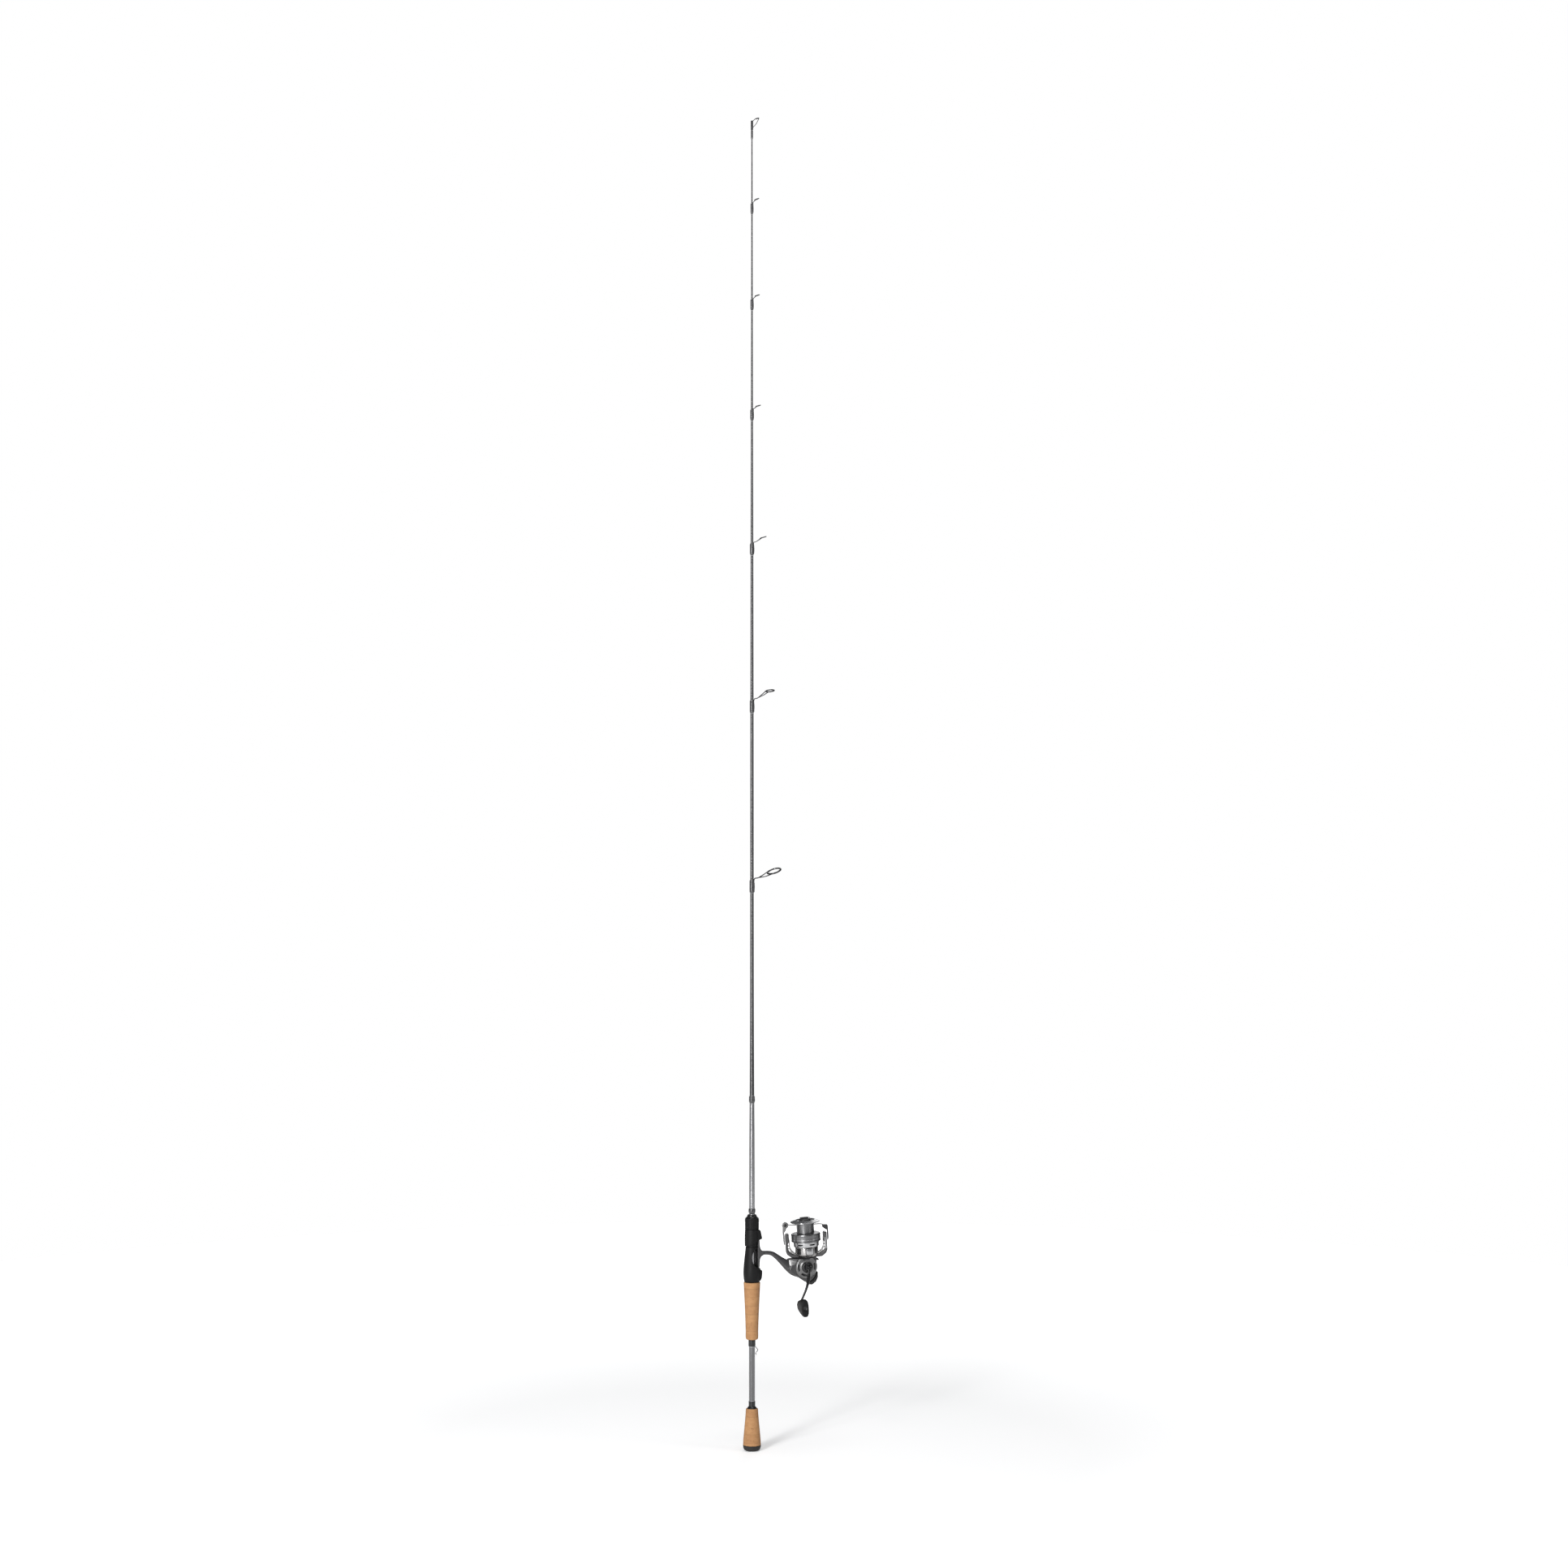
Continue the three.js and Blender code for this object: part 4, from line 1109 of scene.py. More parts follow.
# ring radius, wire radius, ring's distance from the rod, height, lean, roll, wrap's ends and radius
GUIDES = [
    (11.6, 0.9, 33.8, 860.4, 20.5, -13, 827.9, 847.4, 3.7),
    (7.6, 0.8, 27.4, 1128.6, 10.3, -13, 1095.3, 1114.3, 3.35),
    (5.4, 0.65, 17.3, 1356.7, 17, 0, 1330, 1347.4, 3.2),
    (4.5, 0.6, 9.4, 1552, 17, 0, 1529.8, 1546, 2.7),
    (4.2, 0.55, 8.1, 1716, 18, 0, 1693.6, 1710, 2.4),
    (4.1, 0.5, 7.3, 1859, 21, 0, 1836.4, 1852.5, 2.15),
]
TIP = (3.3, 0.5, 7.8, 1978.9, 15, 0)
TIP_WRAP = (1947.3, 1960.9, 1.7)
WRAP_THREAD = 0.14
# How far round the ring each leg meets it, in radians from the ring's rod side.
LEG_SPREAD = 0.95


def wrap_body(name, low, high, radius, lean_out=0.0):
    """A coated wrap: a smooth spindle, thicker over the guide's foot."""
    skin = radius_at(low) - 0.05
    rows = smooth(
        [
            (skin + 0.12, low), (skin + (radius - skin) * 0.55, low + 1), (radius - 0.05, low + 2.6),
            (radius, (low + high) / 2), (radius - 0.1, high - 1.6),
            (skin + (radius - skin) * 0.6, high - 0.5), (skin + 0.12, high),
        ],
        5,
    )
    piece = turned(name, [(skin, low), *rows, (skin, high)], 40, 0.1, True)
    for vertex in piece.data.vertices:
        share = math.sin(math.pi * min(1, max(0, (vertex.co.z - low) / (high - low))))
        if vertex.co.x > 0:
            vertex.co.x += lean_out * share * vertex.co.x / radius
    return piece


def wrap_threads(name, low, high, radius):
    return winding(name, low, high, radius, radius, WRAP_THREAD, "thread_wrap")


def make_wrap(name, low, high, radius, nodes, lean_out=0.0):
    body = wrap_body(name + "_coat", low, high, radius - 0.06, lean_out)
    rows = wrap_threads(name + "_rows", low + 2.6, high - 1.6, radius - 0.18)
    piece = fuse(name + "_sealed", [body, rows])
    hand_over(piece, ROD, "thread_wrap", "rod", *nodes, slot="thread_wrap")
    start = low - 0.9
    trim_radius = radius_at(start) + 0.05
    band = winding(name + "_trim", start, start + 0.9, trim_radius, trim_radius, 0.12, "silver_thread")
    hand_over(band, ROD, "silver_thread", "rod", slot="thread_wrap")


def make_wraps():
    for node, radius in (("front_wrap", 5.2), ("colour_wrap", 4.5)):
        low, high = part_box(node)
        body = wrap_body(node + "_coat", low.z / MM, high.z / MM, radius - 0.1)
        ends = (low.z / MM + 2.4, high.z / MM - 1.6)
        rows = wrap_threads(node + "_rows", *ends, radius - 0.23)
        piece = fuse(node + "_sealed", [body, rows])
        hand_over(piece, ROD, "thread_wrap", "rod", node, slot="thread_wrap")
    for number, guide in enumerate(GUIDES, 1):
        node = f"guide_{number}_wrap"
        nodes = [node] if node in frame["nodes"] else []
        low, high, radius = guide[6:9]
        make_wrap(node, low, high, radius, nodes, 0.6 if nodes else 0.35)
    make_wrap("tip_wrap", *TIP_WRAP, [])


def ring_place(guide):
    """The frame of a guide's ring, with the ring in its XY plane, in millimetres."""
    lean = Matrix.Rotation(math.radians(-guide[4]), 4, "Y")
    roll = Matrix.Rotation(math.radians(-guide[5]), 4, "X")
    return Matrix.Translation((guide[2], 0, guide[3])) @ lean @ roll


def ring_point(guide, angle, radius):
    return tuple(ring_place(guide) @ Vector((radius * math.cos(angle), radius * math.sin(angle), 0)))


def guide_hoop(name, guide):
    middle = guide[0] - guide[1]
    turns = [2 * math.pi * i / 48 for i in range(48)]
    return wire(
        name,
        [ring_point(guide, a, middle) for a in turns],
        guide[1],
        "black_metal",
        closed=True,
        steps=0,
    )


def guide_insert(name, guide):
    """The ceramic ring: rounded inside, with a thin bright step where it meets its frame."""
    outer = guide[0] - 2 * guide[1] + 0.25
    wall = 0.5 + guide[0] * 0.1
    half = 0.62 + guide[0] * 0.055
    profile = [
        (outer, -half * 0.6), (outer, half * 0.6), (outer - wall * 0.35, half),
        (outer - wall * 0.85, half * 0.55), (outer - wall, 0), (outer - wall * 0.85, -half * 0.55),
        (outer - wall * 0.35, -half),
    ]
    piece = turned(name, profile, 64, 0.35, True)
    piece.data.transform(ring_place(guide))
    return piece


def guide_legs(name, guide):
    """Two feet wires that rise from the rod and part to hold the ring."""
    low, high = guide[6:8]
    surface = radius_at(low) + 0.25
    reach = guide[2] - guide[0] - surface
    middle = guide[0] - guide[1]
    start = (surface + 0.35, 0, low + 2)
    bend = (surface + 0.35, 0, high + 0.4)
    fork = (surface + reach * 0.35, 0, high + (guide[3] - high) * 0.25)
    legs = []
    for side in (1, -1):
        end = ring_point(guide, math.pi - side * LEG_SPREAD, middle)
        lift = (
            (fork[0] + end[0]) / 2,
            end[1] * 0.72,
            (fork[2] + end[2]) / 2 - guide[0] * 0.06,
        )
        legs.append(
            wire(f"{name}_{side}", [start, bend, fork, lift, end], guide[1] * 0.85, "black_metal")
        )
    return legs


def guide_foot(name, guide):
    low, high = guide[6:8]
    surface = radius_at(low) + 0.1
    line = [
        (surface + 0.1, 0, low + 1, 0.12, 0.3),
        (surface + 0.2, 0, low + 3, 0.3, guide[1] * 1.1),
        (surface + 0.3, 0, (low + high) / 2, 0.4, guide[1] * 1.3),
        (surface + 0.35, 0, high + 0.8, 0.5, guide[1] * 1.2),
    ]
    return loft(name, line, (0, 1, 0), 16, 2.4, 4)


def make_guides():
    for number, guide in enumerate(GUIDES, 1):
        name = f"guide_{number}"
        parts = guide_legs(name + "_leg", guide)
        parts.append(guide_foot(name + "_foot", guide))
        parts.append(guide_hoop(name + "_hoop", guide))
        piece = fuse(name + "_wire", parts)
        hand_over(piece, ROD, "black_metal", "rod", name + "_frame", angle=50)
        insert = guide_insert(name + "_ceramic", guide)
        hand_over(insert, ROD, "ring_insert", "rod", name + "_ring")


def make_tip():
    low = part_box("tip_frame")[0].z / MM
    high = low + 14.2
    middle = TIP[0] - TIP[1]
    sleeve = turned(
        "tip_tube",
        [(0.95, low), (1.45, low), (1.75, low + 0.5), (1.75, high - 0.6), (1.2, high), (0, high),
         (0, high - 0.8), (0.95, high - 0.8)],
        32,
        0.15,
    )
    upper_line = [(0.6, 0, high - 0.7), (2.4, 0, high + 0.4), ring_point(TIP, math.pi, middle)]
    upper = wire("tip_upper", upper_line, 0.5, "black_metal")
    brace_line = [(1.4, 0, low + 4), (6.8, 0, low + 10.4), ring_point(TIP, 0, middle + 0.3)]
    brace = wire("tip_brace", brace_line, 0.45, "black_metal")
    hoop = guide_hoop("tip_hoop", TIP)
    piece = fuse("tip_wire", [sleeve, upper, brace, hoop])
    hand_over(piece, ROD, "black_metal", "rod", "tip_frame", angle=50)
    insert = guide_insert("tip_ceramic", TIP)
    hand_over(insert, ROD, "ring_insert", "rod", "tip_ring")


# ---------------------------------------------------------------- reel body

GEARBOX = 16.7
ROTOR_FLOOR = 12.5
ROTOR_ROOM = 32.4
SPOOL_LINE = 5.2


def in_reel(points):
    """[x, z] points of the rod's frame, in the reel's."""
    back = REEL.inverted()
    result = []
    for x, z in points:
        point = back @ Vector((x * MM, 0, z * MM))
        result.append((point.x / MM, point.z / MM))
    return result


def in_reel_stations(stations):
    places = in_reel([(station[0], station[2]) for station in stations])
    return [(x, s[1], z, s[3], s[4]) for (x, z), s in zip(places, stations)]


def reel_leg():
    """The stem from the foot to the gearbox, flaring as it goes."""
    line = [
        (12.5, 0, 293.4, 3.2, 4.4), (18, 0, 293.2, 3, 4), (25, 0, 292.9, 3.1, 3.9),
        (31.5, 0, 291, 3.5, 4.1), (39, 0, 285.6, 4.1, 4.6), (47.5, 0, 278.6, 5.6, 5.6),
        (56, 0, 272.4, 8.2, 7.2), (64, 0, 268.8, 11.4, 8.8), (72, 0, 268, 14, 9.6),
    ]
    return loft("leg", in_reel_stations(line), (0, 1, 0), 28, 3.2)


def reel_foot():
    outline = [
        (7.6, 264.2), (8.8, 264.2), (10.4, 274), (11, 284), (13, 288.6), (16.5, 290.4),
        (16.5, 296), (13, 298), (11, 303), (10.2, 313), (8.8, 322.3), (7.6, 322.3),
    ]
    return plate("foot", in_reel(outline), -6.3, 6.3, 0.5, 0.8)


def reel_shell():
    outline = [
        (61, 281.5), (66, 284.5), (72, 289), (96, 289), (97.4, 284), (97.4, 264), (95.2, 256.2),
        (90.2, 250.8), (84.6, 247.7), (79.5, 248.4), (69.5, 255.4), (58, 262.9), (54, 266.4),
    ]
    return plate("shell", in_reel(outline), -9.4, 9.4, 2.4, 2.5)


def rotor_room():
    """The ring that the turning rotor needs above the reel body, as a tool."""
    outline = [(10.7, ROTOR_FLOOR), (ROTOR_ROOM, ROTOR_FLOOR), (ROTOR_ROOM, 40), (10.7, 40)]
    return shift(turned("rotor_room", outline, 96, 0, True), x=SPOOL_LINE)


def wedge(name, corners):
    """The faceted solid that wraps the given corners, [x, y, z] of the rod's frame."""
    places = in_reel([(corner[0], corner[2]) for corner in corners])
    work = bmesh.new()
    for (x, z), corner in zip(places, corners):
        work.verts.new((x, corner[1], z))
    bmesh.ops.convex_hull(work, input=work.verts)
    bmesh.ops.dissolve_limit(work, angle_limit=0.02, verts=work.verts, edges=work.edges)
    return bevel_edges(from_bmesh(name, work), 0.35, 10)


def make_leg_facets():
    """The light cut faces between the leg and the gearbox."""
    for side, name in ((-1, "leg_facet_near"), (1, "leg_facet_far")):
        face = [
            (54.6, 6.2, 282), (72.6, 9.4, 286.6), (66, 11.2, 279.4), (63.8, 11.4, 275.2),
            (55.6, 8.6, 273.2),
        ]
        corners = [(x, side * y, z) for x, y, z in face]
        corners.extend((x + 1.5, side * 4, z - 0.6) for x, y, z in face)
        piece = carve(wedge(name, corners), rotor_room())
        hand_over(piece, REEL, "cover_silver", "rod", slot="body_gunmetal", angle=25)


def make_reel_body():
    gearbox = turned_aside(
        "gearbox",
        [
            (0, -12), (GEARBOX - 0.4, -12), (GEARBOX, -11.6), (GEARBOX, 9.6), (GEARBOX - 3, 12),
            (0, 12),
        ],
        96,
        0.8,
    )
    neck = turned("neck", [(0, 4), (10.2, 4), (10.2, 21.6), (0, 21.6)], 72, 0.3)
    shift(neck, x=SPOOL_LINE)
    boss = turned_aside("boss", [(0, 10), (7.4, 10), (7.4, 13.4), (0, 13.4)], 64, 0.3)
    parts = [gearbox, neck, boss, reel_leg(), reel_foot(), reel_shell()]
    piece = cast("reel_body_casting", parts, 0.42, 2)
    carve(piece, rotor_room())
    bore = turned("clutch_room", [(0, 13), (8.6, 13), (8.6, 40), (0, 40)], 64, 0)
    shift(bore, x=SPOOL_LINE)
    carve(piece, bore)
    shaft = turned_aside("shaft_room", [(0, -20), (3.4, -20), (3.4, 20), (0, 20)], 48, 0)
    slot = box("lever_slot", 14.4, 26, -1.5, 1.5, 6.2, 11.6)
    carve(piece, shaft, slot)
    hand_over(piece, REEL, "body_gunmetal", "rod", "reel_body", angle=60)


def make_side_cover():
    rim = GEARBOX
    dish = turned_aside(
        "cover_dish",
        [
            (3.7, -16.2), (8.4, -16.3), (9.2, -15.7), (9.9, -15.2), (14.4, -15), (15.1, -14.6),
            (15.4, -14.9), (rim - 0.5, -14.2), (rim - 0.1, -13.6), (rim - 0.1, -12.3), (5.3, -12.3),
            (5.3, -15), (3.7, -15),
        ],
        128,
        0.25,
        True,
    )
    carve(dish, rotor_room())
    for centre in (0, 90, 180, 250):
        carve(dish, cover_slot(centre))
    hand_over(dish, REEL, "cover_silver", "rod", "side_cover")
    # Painted shadow: a black ring behind the cover's slots, so that they show dark.
    painted_shadow_plate = turned_aside(
        "cover_shadow_plate", [(10, -13.6), (14.7, -13.6), (14.7, -13.9), (10, -13.9)], 96, 0.05, True
    )
    carve(painted_shadow_plate, rotor_room())
    hand_over(painted_shadow_plate, REEL, "black_trim", "rod")
    for number, degrees in enumerate((38, 142, 232, 305)):
        screw = cover_screw(f"cover_screw_{number + 1}", degrees)
        hand_over(screw, REEL, "dark_wire", "rod", slot="bright_steel")


def cover_slot(degrees):
    """A curved slot in the cover, as a tool."""
    points = []
    spread = 24
    for step in range(9):
        a = math.radians(degrees - spread + 2 * spread * step / 8)
        points.append((13.8 * math.cos(a), 13.8 * math.sin(a)))
    for step in range(9):
        a = math.radians(degrees + spread - 2 * spread * step / 8)
        radius = 10.9 if 0 < step < 8 else 12
        points.append((radius * math.cos(a), radius * math.sin(a)))
    return plate(f"slot_{degrees}", points, -18, -13.6)


def cover_screw(name, degrees):
    head = turned_aside(name, [(0, -15.3), (1.1, -15.3), (1.4, -15), (1.4, -14), (0, -14)], 32, 0.15)
    cross = box("cross", -0.8, 0.8, -16, -15, -0.16, 0.16)
    other = box("cross_other", -0.16, 0.16, -16, -15, -0.8, 0.8)
    carve(head, cross, other)
    a = math.radians(degrees)
    return shift(head, x=15.2 * math.cos(a) * 0.98, y=0.6, z=15.2 * math.sin(a) * 0.98)


def make_rear_cap():
    outline = [
        (84.9, 247.4), (84.7, 244.8), (90.4, 244.1), (96.4, 248.6), (99.2, 255), (99, 262.8),
        (98.5, 263.4), (95.7, 256), (90.6, 250.5),
    ]
    piece = plate("rear_cap_moulding", in_reel(outline), -8.2, 8.2, 0.7, 0.8)
    hand_over(piece, REEL, "black_trim", "rod", "rear_cap")


def make_stop_lever():
    outline = [(14.9, 7.6), (16.6, 7.2), (21.2, 6.3), (22.9, 6.3), (23.3, 7.4), (20.6, 10), (15.2, 10.4)]
    piece = plate("stop_lever_moulding", outline, -1.05, 1.05, 0.25, 0.6)
    hand_over(piece, REEL, "black_trim", "stop_lever", "anti_reverse_lever")


def make_far_cap():
    outline = [
        (0, 13.7), (6.9, 13.7), (7, 14.2), (6.9, 15.4), (5.6, 16.4), (4.6, 16.5), (4.2, 16), (0, 16),
    ]
    cap = turned_aside("far_cap_round", outline, 72, 0.25)
    rib = box("far_cap_rib", 6.3, 7, -0.5, 0.5, -15.2, -13.9, 0.2)
    ribs = patterned(rib, RING, "black_trim", Count=24)
    ribs.data.transform(Matrix.Rotation(math.pi / 2, 4, "X"))
    piece = fuse("far_side_cap_ribbed", [cap, ribs])
    hand_over(piece, REEL, "black_trim", "rod", "far_side_cap")


# ---------------------------------------------------------------- rotor and bail

ARM_IN = 25.2
ARM_OUT = 31.2
PIVOT = joint_place("bail_flip")
PIVOT_HEIGHT = (ROTOR.inverted() @ PIVOT).z / MM
ROTOR_SKIN = 17.05
ROLLER_SPOT = (ROTOR.inverted() @ joint_place("line_roller_spin")) / MM


def arch(name, outline, half, edge):
    return plate(name, outline, -half, half, edge, 1.2)


def rotor_arch():
    """The arm's dark outer arch, up to the bail's pivot."""
    outer = arch(
        "arm_outer",
        [
            (12, 12.7), (22.6, 13.1), (29.2, 18), (ARM_OUT, 22.8), (ARM_OUT, 46.5), (29.6, 49.4),
            (26.4, 49.4), (ARM_IN, 47.6), (ARM_IN, 38), (27.2, 34), (27.4, 25), (25.6, 21.4),
            (21.4, 18.4), (12, 18),
        ],
        6.3,
        1.2,
    )
    ear = turned_across("arm_ear", [(0, 26), (5.6, 26), (5.6, 31.1), (0, 31.1)], 48, 0.3)
    return [outer, shift(ear, z=PIVOT_HEIGHT)]


def rotor_strut():
    """The bright strut inside the arch, with its small bars."""
    inner = arch(
        "arm_inner",
        [
            (15.6, 18.4), (18.6, 20.4), (22.2, 23.4), (24.2, 27.4), (24.8, 41), (26.2, 41),
            (25.8, 26.6), (23.6, 21.4), (19, 18.2), (15.6, 16.6),
        ],
        5.2,
        0.5,
    )
    bar = box("arm_bar", 25.2, 28, -3.2, 3.2, 26, 27.1, 0.3)
    return [inner, patterned(bar, ROW, "rotor_gunmetal", Count=2, Step=(0, 0, 4.4))]


def make_rotor():
    cup = turned(
        "rotor_cup",
        [
            (11.3, 12.8), (12.6, 12.8), (13.4, 13.4), (16.8, 16.8), (17.2, 17.8), (17.2, 28.6),
            (15.9, 28.6), (15.9, 26.4), (3.4, 26.4), (3.4, 23.4), (11.3, 23.4),
        ],
        96,
        0.5,
        True,
    )
    hand_over(cup, ROTOR, "rotor_gunmetal", "rotor_body", "rotor", angle=50)
    # Painted shade: a black band round the cup, inside the spool's skirt, so that the spool's ports show
    # dark.
    wall = turned(
        "rotor_painted_shade_band", [(15.95, 28.7), (17.1, 28.7), (17.1, 39.4), (15.95, 39.4)], 96, 0.2, True
    )
    hand_over(wall, ROTOR, "black_trim", "rotor_body")
    for name, half_turn in (("bail_side", 180), ("lever_side", 0)):
        arches = [turn(part, half_turn) for part in rotor_arch()]
        piece = cast(f"rotor_arch_{name}", arches, 0.36, 2)
        carve(piece, cup_tool())
        hand_over(piece, ROTOR, "body_gunmetal", "rotor_body", angle=60)
        struts = [turn(part, half_turn) for part in rotor_strut()]
        piece = fuse(f"rotor_strut_{name}", struts)
        hand_over(piece, ROTOR, "rotor_gunmetal", "rotor_body", angle=50)
    # Painted highlight: a bright strip on the side of one arch, where light glints off the arm.
    highlight_strip = plate(
        "arm_painted_highlight_strip", [(28.1, 24), (29.9, 25), (29.9, 41.6), (28.1, 41.6)], -6.75, -6, 0.2, 0.7
    )
    hand_over(highlight_strip, ROTOR, "bright_alloy", "rotor_body", slot="rotor_gunmetal", angle=40)
    make_rotor_panels()


def cup_tool():
    """What the cup fills, so that the arms end at its skin."""
    outline = [(0, 12), (12.5, 12), (12.5, 12.9), (16.9, 17), (17, 29), (0, 29)]
    return turned("cup_space", outline, 96, 0)


def curved_patch(name, radius, thick, low, high, centre, half_angle, corner):
    """A thin panel bent round the rotor, with rounded corners."""
    reach = math.radians(half_angle) * radius
    outline = soften(
        [(-reach, low), (reach, low), (reach, high), (-reach, high)], corner, True, 6
    )
    piece = plate(name, outline, radius, radius + thick, 0.12)
    cut_rows(piece, reach)
    for vertex in piece.data.vertices:
        depth = vertex.co.y
        a = math.radians(centre) + vertex.co.x / radius
        vertex.co.x = depth * math.cos(a)
        vertex.co.y = depth * math.sin(a)
    return piece


def cut_rows(piece, reach):
    """Splits a flat panel across so that it can bend."""
    work = bmesh.new()
    work.from_mesh(piece.data)
    for step in range(1, 12):
        x = -reach + 2 * reach * step / 12
        everything = work.verts[:] + work.edges[:] + work.faces[:]
        bmesh.ops.bisect_plane(work, geom=everything, plane_co=(x, 0, 0), plane_no=(1, 0, 0))
    work.to_mesh(piece.data)
    work.free()


def make_rotor_panels():
    surround = curved_patch("rotor_panel_surround", ROTOR_SKIN, 0.3, 17.2, 28.3, -74, 21, 2.9)
    hand_over(surround, ROTOR, "black_trim", "rotor_body", angle=30)
    panel = curved_patch("rotor_front_panel", ROTOR_SKIN, 0.7, 18.1, 27.4, -74, 17.6, 2.4)
    hand_over(panel, ROTOR, "bright_alloy", "rotor_body", slot="rotor_gunmetal", angle=30)
    # Painted shade: thin black patches laid on the cup where its windows show dark; nothing is cut.
    painted_recess_shades = [
        ("rotor_recess_shade_right", -38, 8), ("rotor_recess_shade_left", -132, 13),
        ("rotor_recess_shade_back_a", 60, 14), ("rotor_recess_shade_back_b", 120, 14),
    ]
    for name, centre, half_angle in painted_recess_shades:
        patch = curved_patch(name, ROTOR_SKIN, 0.25, 18.6, 27.6, centre, half_angle, 1.6)
        hand_over(patch, ROTOR, "black_trim", "rotor_body", angle=30)


def make_rotor_nut():
    work = turned("nut_hex", [(3.2, 26.8), (6.1, 26.8), (6.1, 30.3), (3.2, 30.3)], 6, 0.25, True)
    hand_over(work, ROTOR, "bright_steel", "rotor_body", "rotor_nut", angle=30)


def make_bail_arm():
    x, z = ROLLER_SPOT.x, ROLLER_SPOT.z
    lever = turned_across("bail_hub", [(0, -34), (4.2, -34), (5.2, -33), (5.2, -31.6), (0, -31.6)], 64, 0.5)
    shift(lever, z=PIVOT_HEIGHT)
    stem = plate(
        "bail_stem",
        [
            (-33.9, 38.6), (-31.7, 38.6), (-31.7, 51.8), (-29.4, 53.8), (-28.4, 57), (x + 3.4, 60.8),
            (x - 3.8, 61), (-34.2, 54),
        ],
        -6,
        4,
        0.8,
        1.4,
    )
    tail = plate("bail_tail", [(-33.6, 33.6), (-31.7, 33), (-31.7, 40), (-33.9, 40)], -4.4, 4.4, 0.6)
    eye = turned_aside("bail_eye", [(0, -6.4), (4.2, -6.4), (4.9, -5.8), (4.9, -3.8), (0, -3.8)], 64, 0.4)
    shift(eye, x=x, z=z)
    piece = cast("bail_arm_casting", [lever, stem, tail, eye], 0.3, 2)
    room = turned_aside("roller_room", [(0, -3.75), (4.5, -3.75), (4.5, 9), (0, 9)], 48, 0)
    hole = turned_aside("screw_hole", [(0, -9), (1.75, -9), (1.75, 0), (0, 0)], 32, 0)
    carve(piece, shift(room, x=x, z=z), shift(hole, x=x, z=z))
    hand_over(piece, ROTOR, "cover_silver", "bail", "bail_arm", slot="rotor_gunmetal", angle=60)


def make_bail_lever():
    hub = turned_across("lever_hub", [(0, 31.6), (5, 31.6), (5, 32.9), (4, 33.9), (0, 33.9)], 64, 0.4)
    shift(hub, z=PIVOT_HEIGHT)
    blade = plate(
        "lever_blade",
        [
            (31.7, 36.6), (33, 36), (33.9, 42), (33.9, 57), (32.6, 59.6), (26, 59.9), (24.6, 57.4),
            (27.6, 54.6), (29.8, 52.6), (31.75, 52.3),
        ],
        -3.6,
        3.6,
        0.8,
        0.9,
    )
    piece = cast("bail_lever_moulding", [hub, blade], 0.3, 2)
    hand_over(piece, ROTOR, "black_trim", "bail", "bail_lever", angle=60)


def make_bail_wire():
    x, z = ROLLER_SPOT.x, ROLLER_SPOT.z
    line = [
        (x, 6, z - 0.2), (-29.4, 16, 60), (-22.8, 28.4, 57.4), (-11, 34.8, 55.6), (0, 36.6, 55),
        (11, 34.8, 55.4), (21.6, 28.8, 56.2), (26.8, 17, 57), (27.4, 4.4, 57.6),
    ]
    bow = wire("bail_bow", line, 0.75, "dark_wire", sides=16)
    cone = turned_aside(
        "bail_cone",
        [(1.75, 4.25), (3.1, 4.25), (3.2, 5), (2.4, 6.6), (1.1, 7.5), (0, 7.5), (0, 6.3), (1.75, 6.3)],
        48,
        0.25,
    )
    shift(cone, x=x, z=z)
    piece = fuse("bail_wire_polished", [bow, cone])
    hand_over(piece, ROTOR, "dark_wire", "bail", "bail_wire", slot="bright_steel", angle=50)


def make_roller():
    x, z = ROLLER_SPOT.x, ROLLER_SPOT.z
    shell = turned_aside(
        "line_roller_polished",
        [
            (1.75, -3.3), (3.8, -3.3), (3.9, -3), (3.6, -2.2), (2.75, -0.5), (2.7, 0.9), (3.6, 3.1),
            (3.7, 3.8), (1.75, 3.8),
        ],
        64,
        0.3,
        True,
    )
    shift(shell, x=x, z=z)
    hand_over(shell, ROTOR, "bright_steel", "roller", "line_roller")
    screw = turned_aside(
        "roller_screw_dark",
        [(0, -8), (1.6, -8), (2.3, -7.5), (2.3, -6.8), (1.35, -6.8), (1.35, 5.4), (0, 5.4)],
        48,
        0.25,
    )
    carve(screw, box("screw_slot", -1.7, 1.7, -9, -7.6, -0.25, 0.25))
    shift(screw, x=x, z=z)
    hand_over(screw, ROTOR, "black_trim", "bail", "roller_screw", slot="bright_steel")


# ---------------------------------------------------------------- spool and drag knob


SKIRT = [
    (2, 47.6), (19.4, 47.6), (20.4, 46.4), (20.4, 37.4), (18.1, 36.3), (19.5, 36.1), (20.6, 36.5),
    (21.5, 36.7), (21.9, 37.4), (21.9, 38.2), (21.65, 38.5), (21.65, 45.4), (21.9, 45.7), (21.9, 47),
    (21.4, 48.5), (13.6, 49.1), (13.1, 49.8), (13.1, 62.6), (13.4, 63.6), (9.6, 63.6), (9.6, 55),
    (2, 55),
]
PORT_RING = [(17.95, 36), (17.85, 29.4), (18.7, 29), (19, 29.6), (19.5, 36)]
LIP = [
    (13.3, 63.7), (21.2, 64.6), (21.9, 65.2), (21.8, 65.9), (18.6, 66.9), (15.8, 68.2), (15, 68.6),
    (14.3, 68.3), (14, 66.8), (9.6, 66.8), (9.6, 63.7),
]


